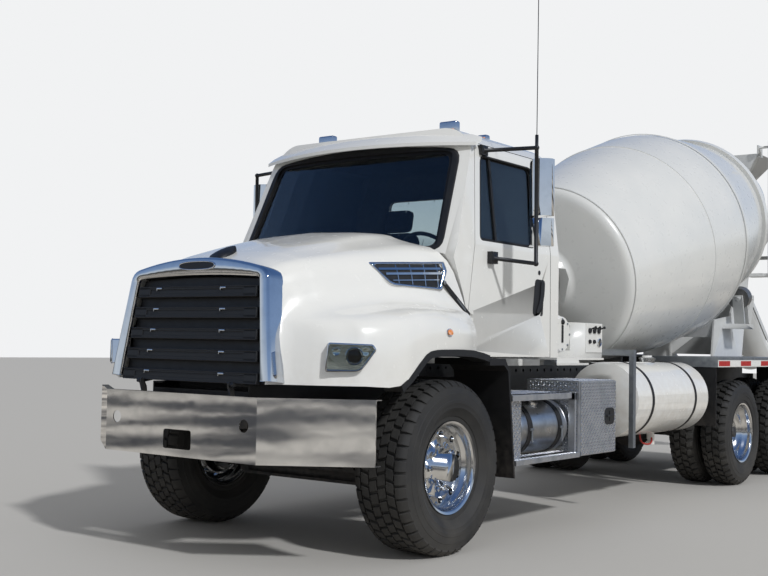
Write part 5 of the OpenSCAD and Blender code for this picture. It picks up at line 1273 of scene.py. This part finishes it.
# Hoses, each a chosen route in mm: finish, diameter, places
hoses = {
    "water_hose": (redHose, 16, ((868, 3560, 592), (872, 3556, 540), (884, 3580, 500), (900, 3640, 484),
                                 (905, 3700, 487), (900, 3745, 510), (886, 3768, 535), (872, 3776, 545))),
    "motor_hose_left": (rubber, 22, ((60, 2000, 1532), (62, 2090, 1560), (66, 2200, 1568), (68, 2310, 1590),
                                     (64, 2430, 1660), (60, 2566, 1745))),
    "motor_hose_right": (rubber, 22, ((-60, 2012, 1500), (-64, 2110, 1505), (-70, 2220, 1505),
                                      (-72, 2330, 1530), (-66, 2440, 1630), (-52, 2576, 1775)))}
for name, (material, diameter, places) in hoses.items():
    line = [at(*q) for q in smoothRows(places, 10)]
    hose = addPiece(name, tube(line, diameter / 2, 16), "chassis", material)
    reach = sum((b - a).length for a, b in zip(line, line[1:]))

# Seats: pads of cloth over foam
padding = {"cuts": 26, "power": 5, "channelWidth": 0.04, "flat": 0.84, "crown": 0.16, "dip": 0.09,
           "pull": 0.025}


# A crowned pad whose sides pull in between its corners, with sewn channels across
def pad(place, size, lean, channels):
    mesh = bpy.data.meshes.new("pad")
    power = padding["power"]
    with editing(mesh) as work:
        bmesh.ops.create_cube(work, size=2)
        bmesh.ops.subdivide_edges(work, edges=work.edges, cuts=padding["cuts"], use_grid_fill=True)
        for v in work.verts:
            q = v.co / sum(abs(a) ** power for a in v.co) ** (1 / power)
            crown = (1 - q.x ** 2) * (1 - q.y ** 2)
            dip = sum(math.exp(-((q.y - c) / padding["channelWidth"]) ** 2) for c in channels)
            q.z *= padding["flat"] + padding["crown"] * crown - padding["dip"] * dip * (1 - q.x ** 4)
            pull = 1 - padding["pull"] * (1 - q.z ** 2) * (1 - (q.x * q.y) ** 2)
            v.co = Vector((q.x * size[0] * pull, q.y * size[1] * pull, q.z * size[2])) / 2000
        bmesh.ops.recalc_face_normals(work, faces=work.faces)
    mesh.transform(Matrix.Translation(at(*place)) @ Matrix.Rotation(math.radians(lean), 4, "X"))
    return smooth(mesh, 60)


pads = {  # place of the middle, size across, along and through, lean in degrees, channels along the pad
    "seat_pad": ((420, 1160, 1612), (484, 476, 98), 0, (-0.45, 0, 0.45)),
    "back_pad": ((420, 1489, 1952), (464, 672, 92), 78.4, (-0.5, -0.1, 0.3, 0.66)),
    "head_pad": ((420, 1559, 2376), (276, 190, 76), 79.5, ())}
for name, row in pads.items():
    left = pad(*row)
    for side, mesh in (("left", left), ("right", mirrored(left))):
        replaced = ["seats"] if (name, side) == ("seat_pad", "left") else ()
        addPiece(name + "_" + side, mesh, "chassis", seatCloth, replaced)
print("fittings, hoses and seats made")

# Floor of the studio, plain to the camera and blotched pale and dark to what mirrors it; the dark blotches
# are painted shade and dark ground for the chrome to reflect
floorMesh = bpy.data.meshes.new("studio_floor")
reach = studio["floorReach"]
corners = [(-reach, -reach, 0), (reach, -reach, 0), (reach, reach, 0), (-reach, reach, 0)]
floorMesh.from_pydata(corners, [], [(0, 1, 2, 3)])
floor = bpy.data.objects.new("studio_floor", floorMesh)
scene.collection.objects.link(floor)
floorPaint, tree, shader, place = newMaterial("matt_studio_floor")
mirroredRay = addNode(tree, "ShaderNodeLightPath").outputs["Is Glossy Ray"]
# painted shade and dark ground: dark blotches that only mirrors see
shadeAndGroundBlots = spread(tree, speckle(tree, place, studio["floorSpots"], 4), 0, 1, 0.42, 0.56)
ground = mixColours(tree, shadeAndGroundBlots, studio["floorPale"], studio["floorDark"])
feed(shader, {"Base Color": mixColours(tree, mirroredRay, studio["floor"], ground), "Roughness": 0.85})
floorMesh.materials.append(floorPaint)

print("scene ready")
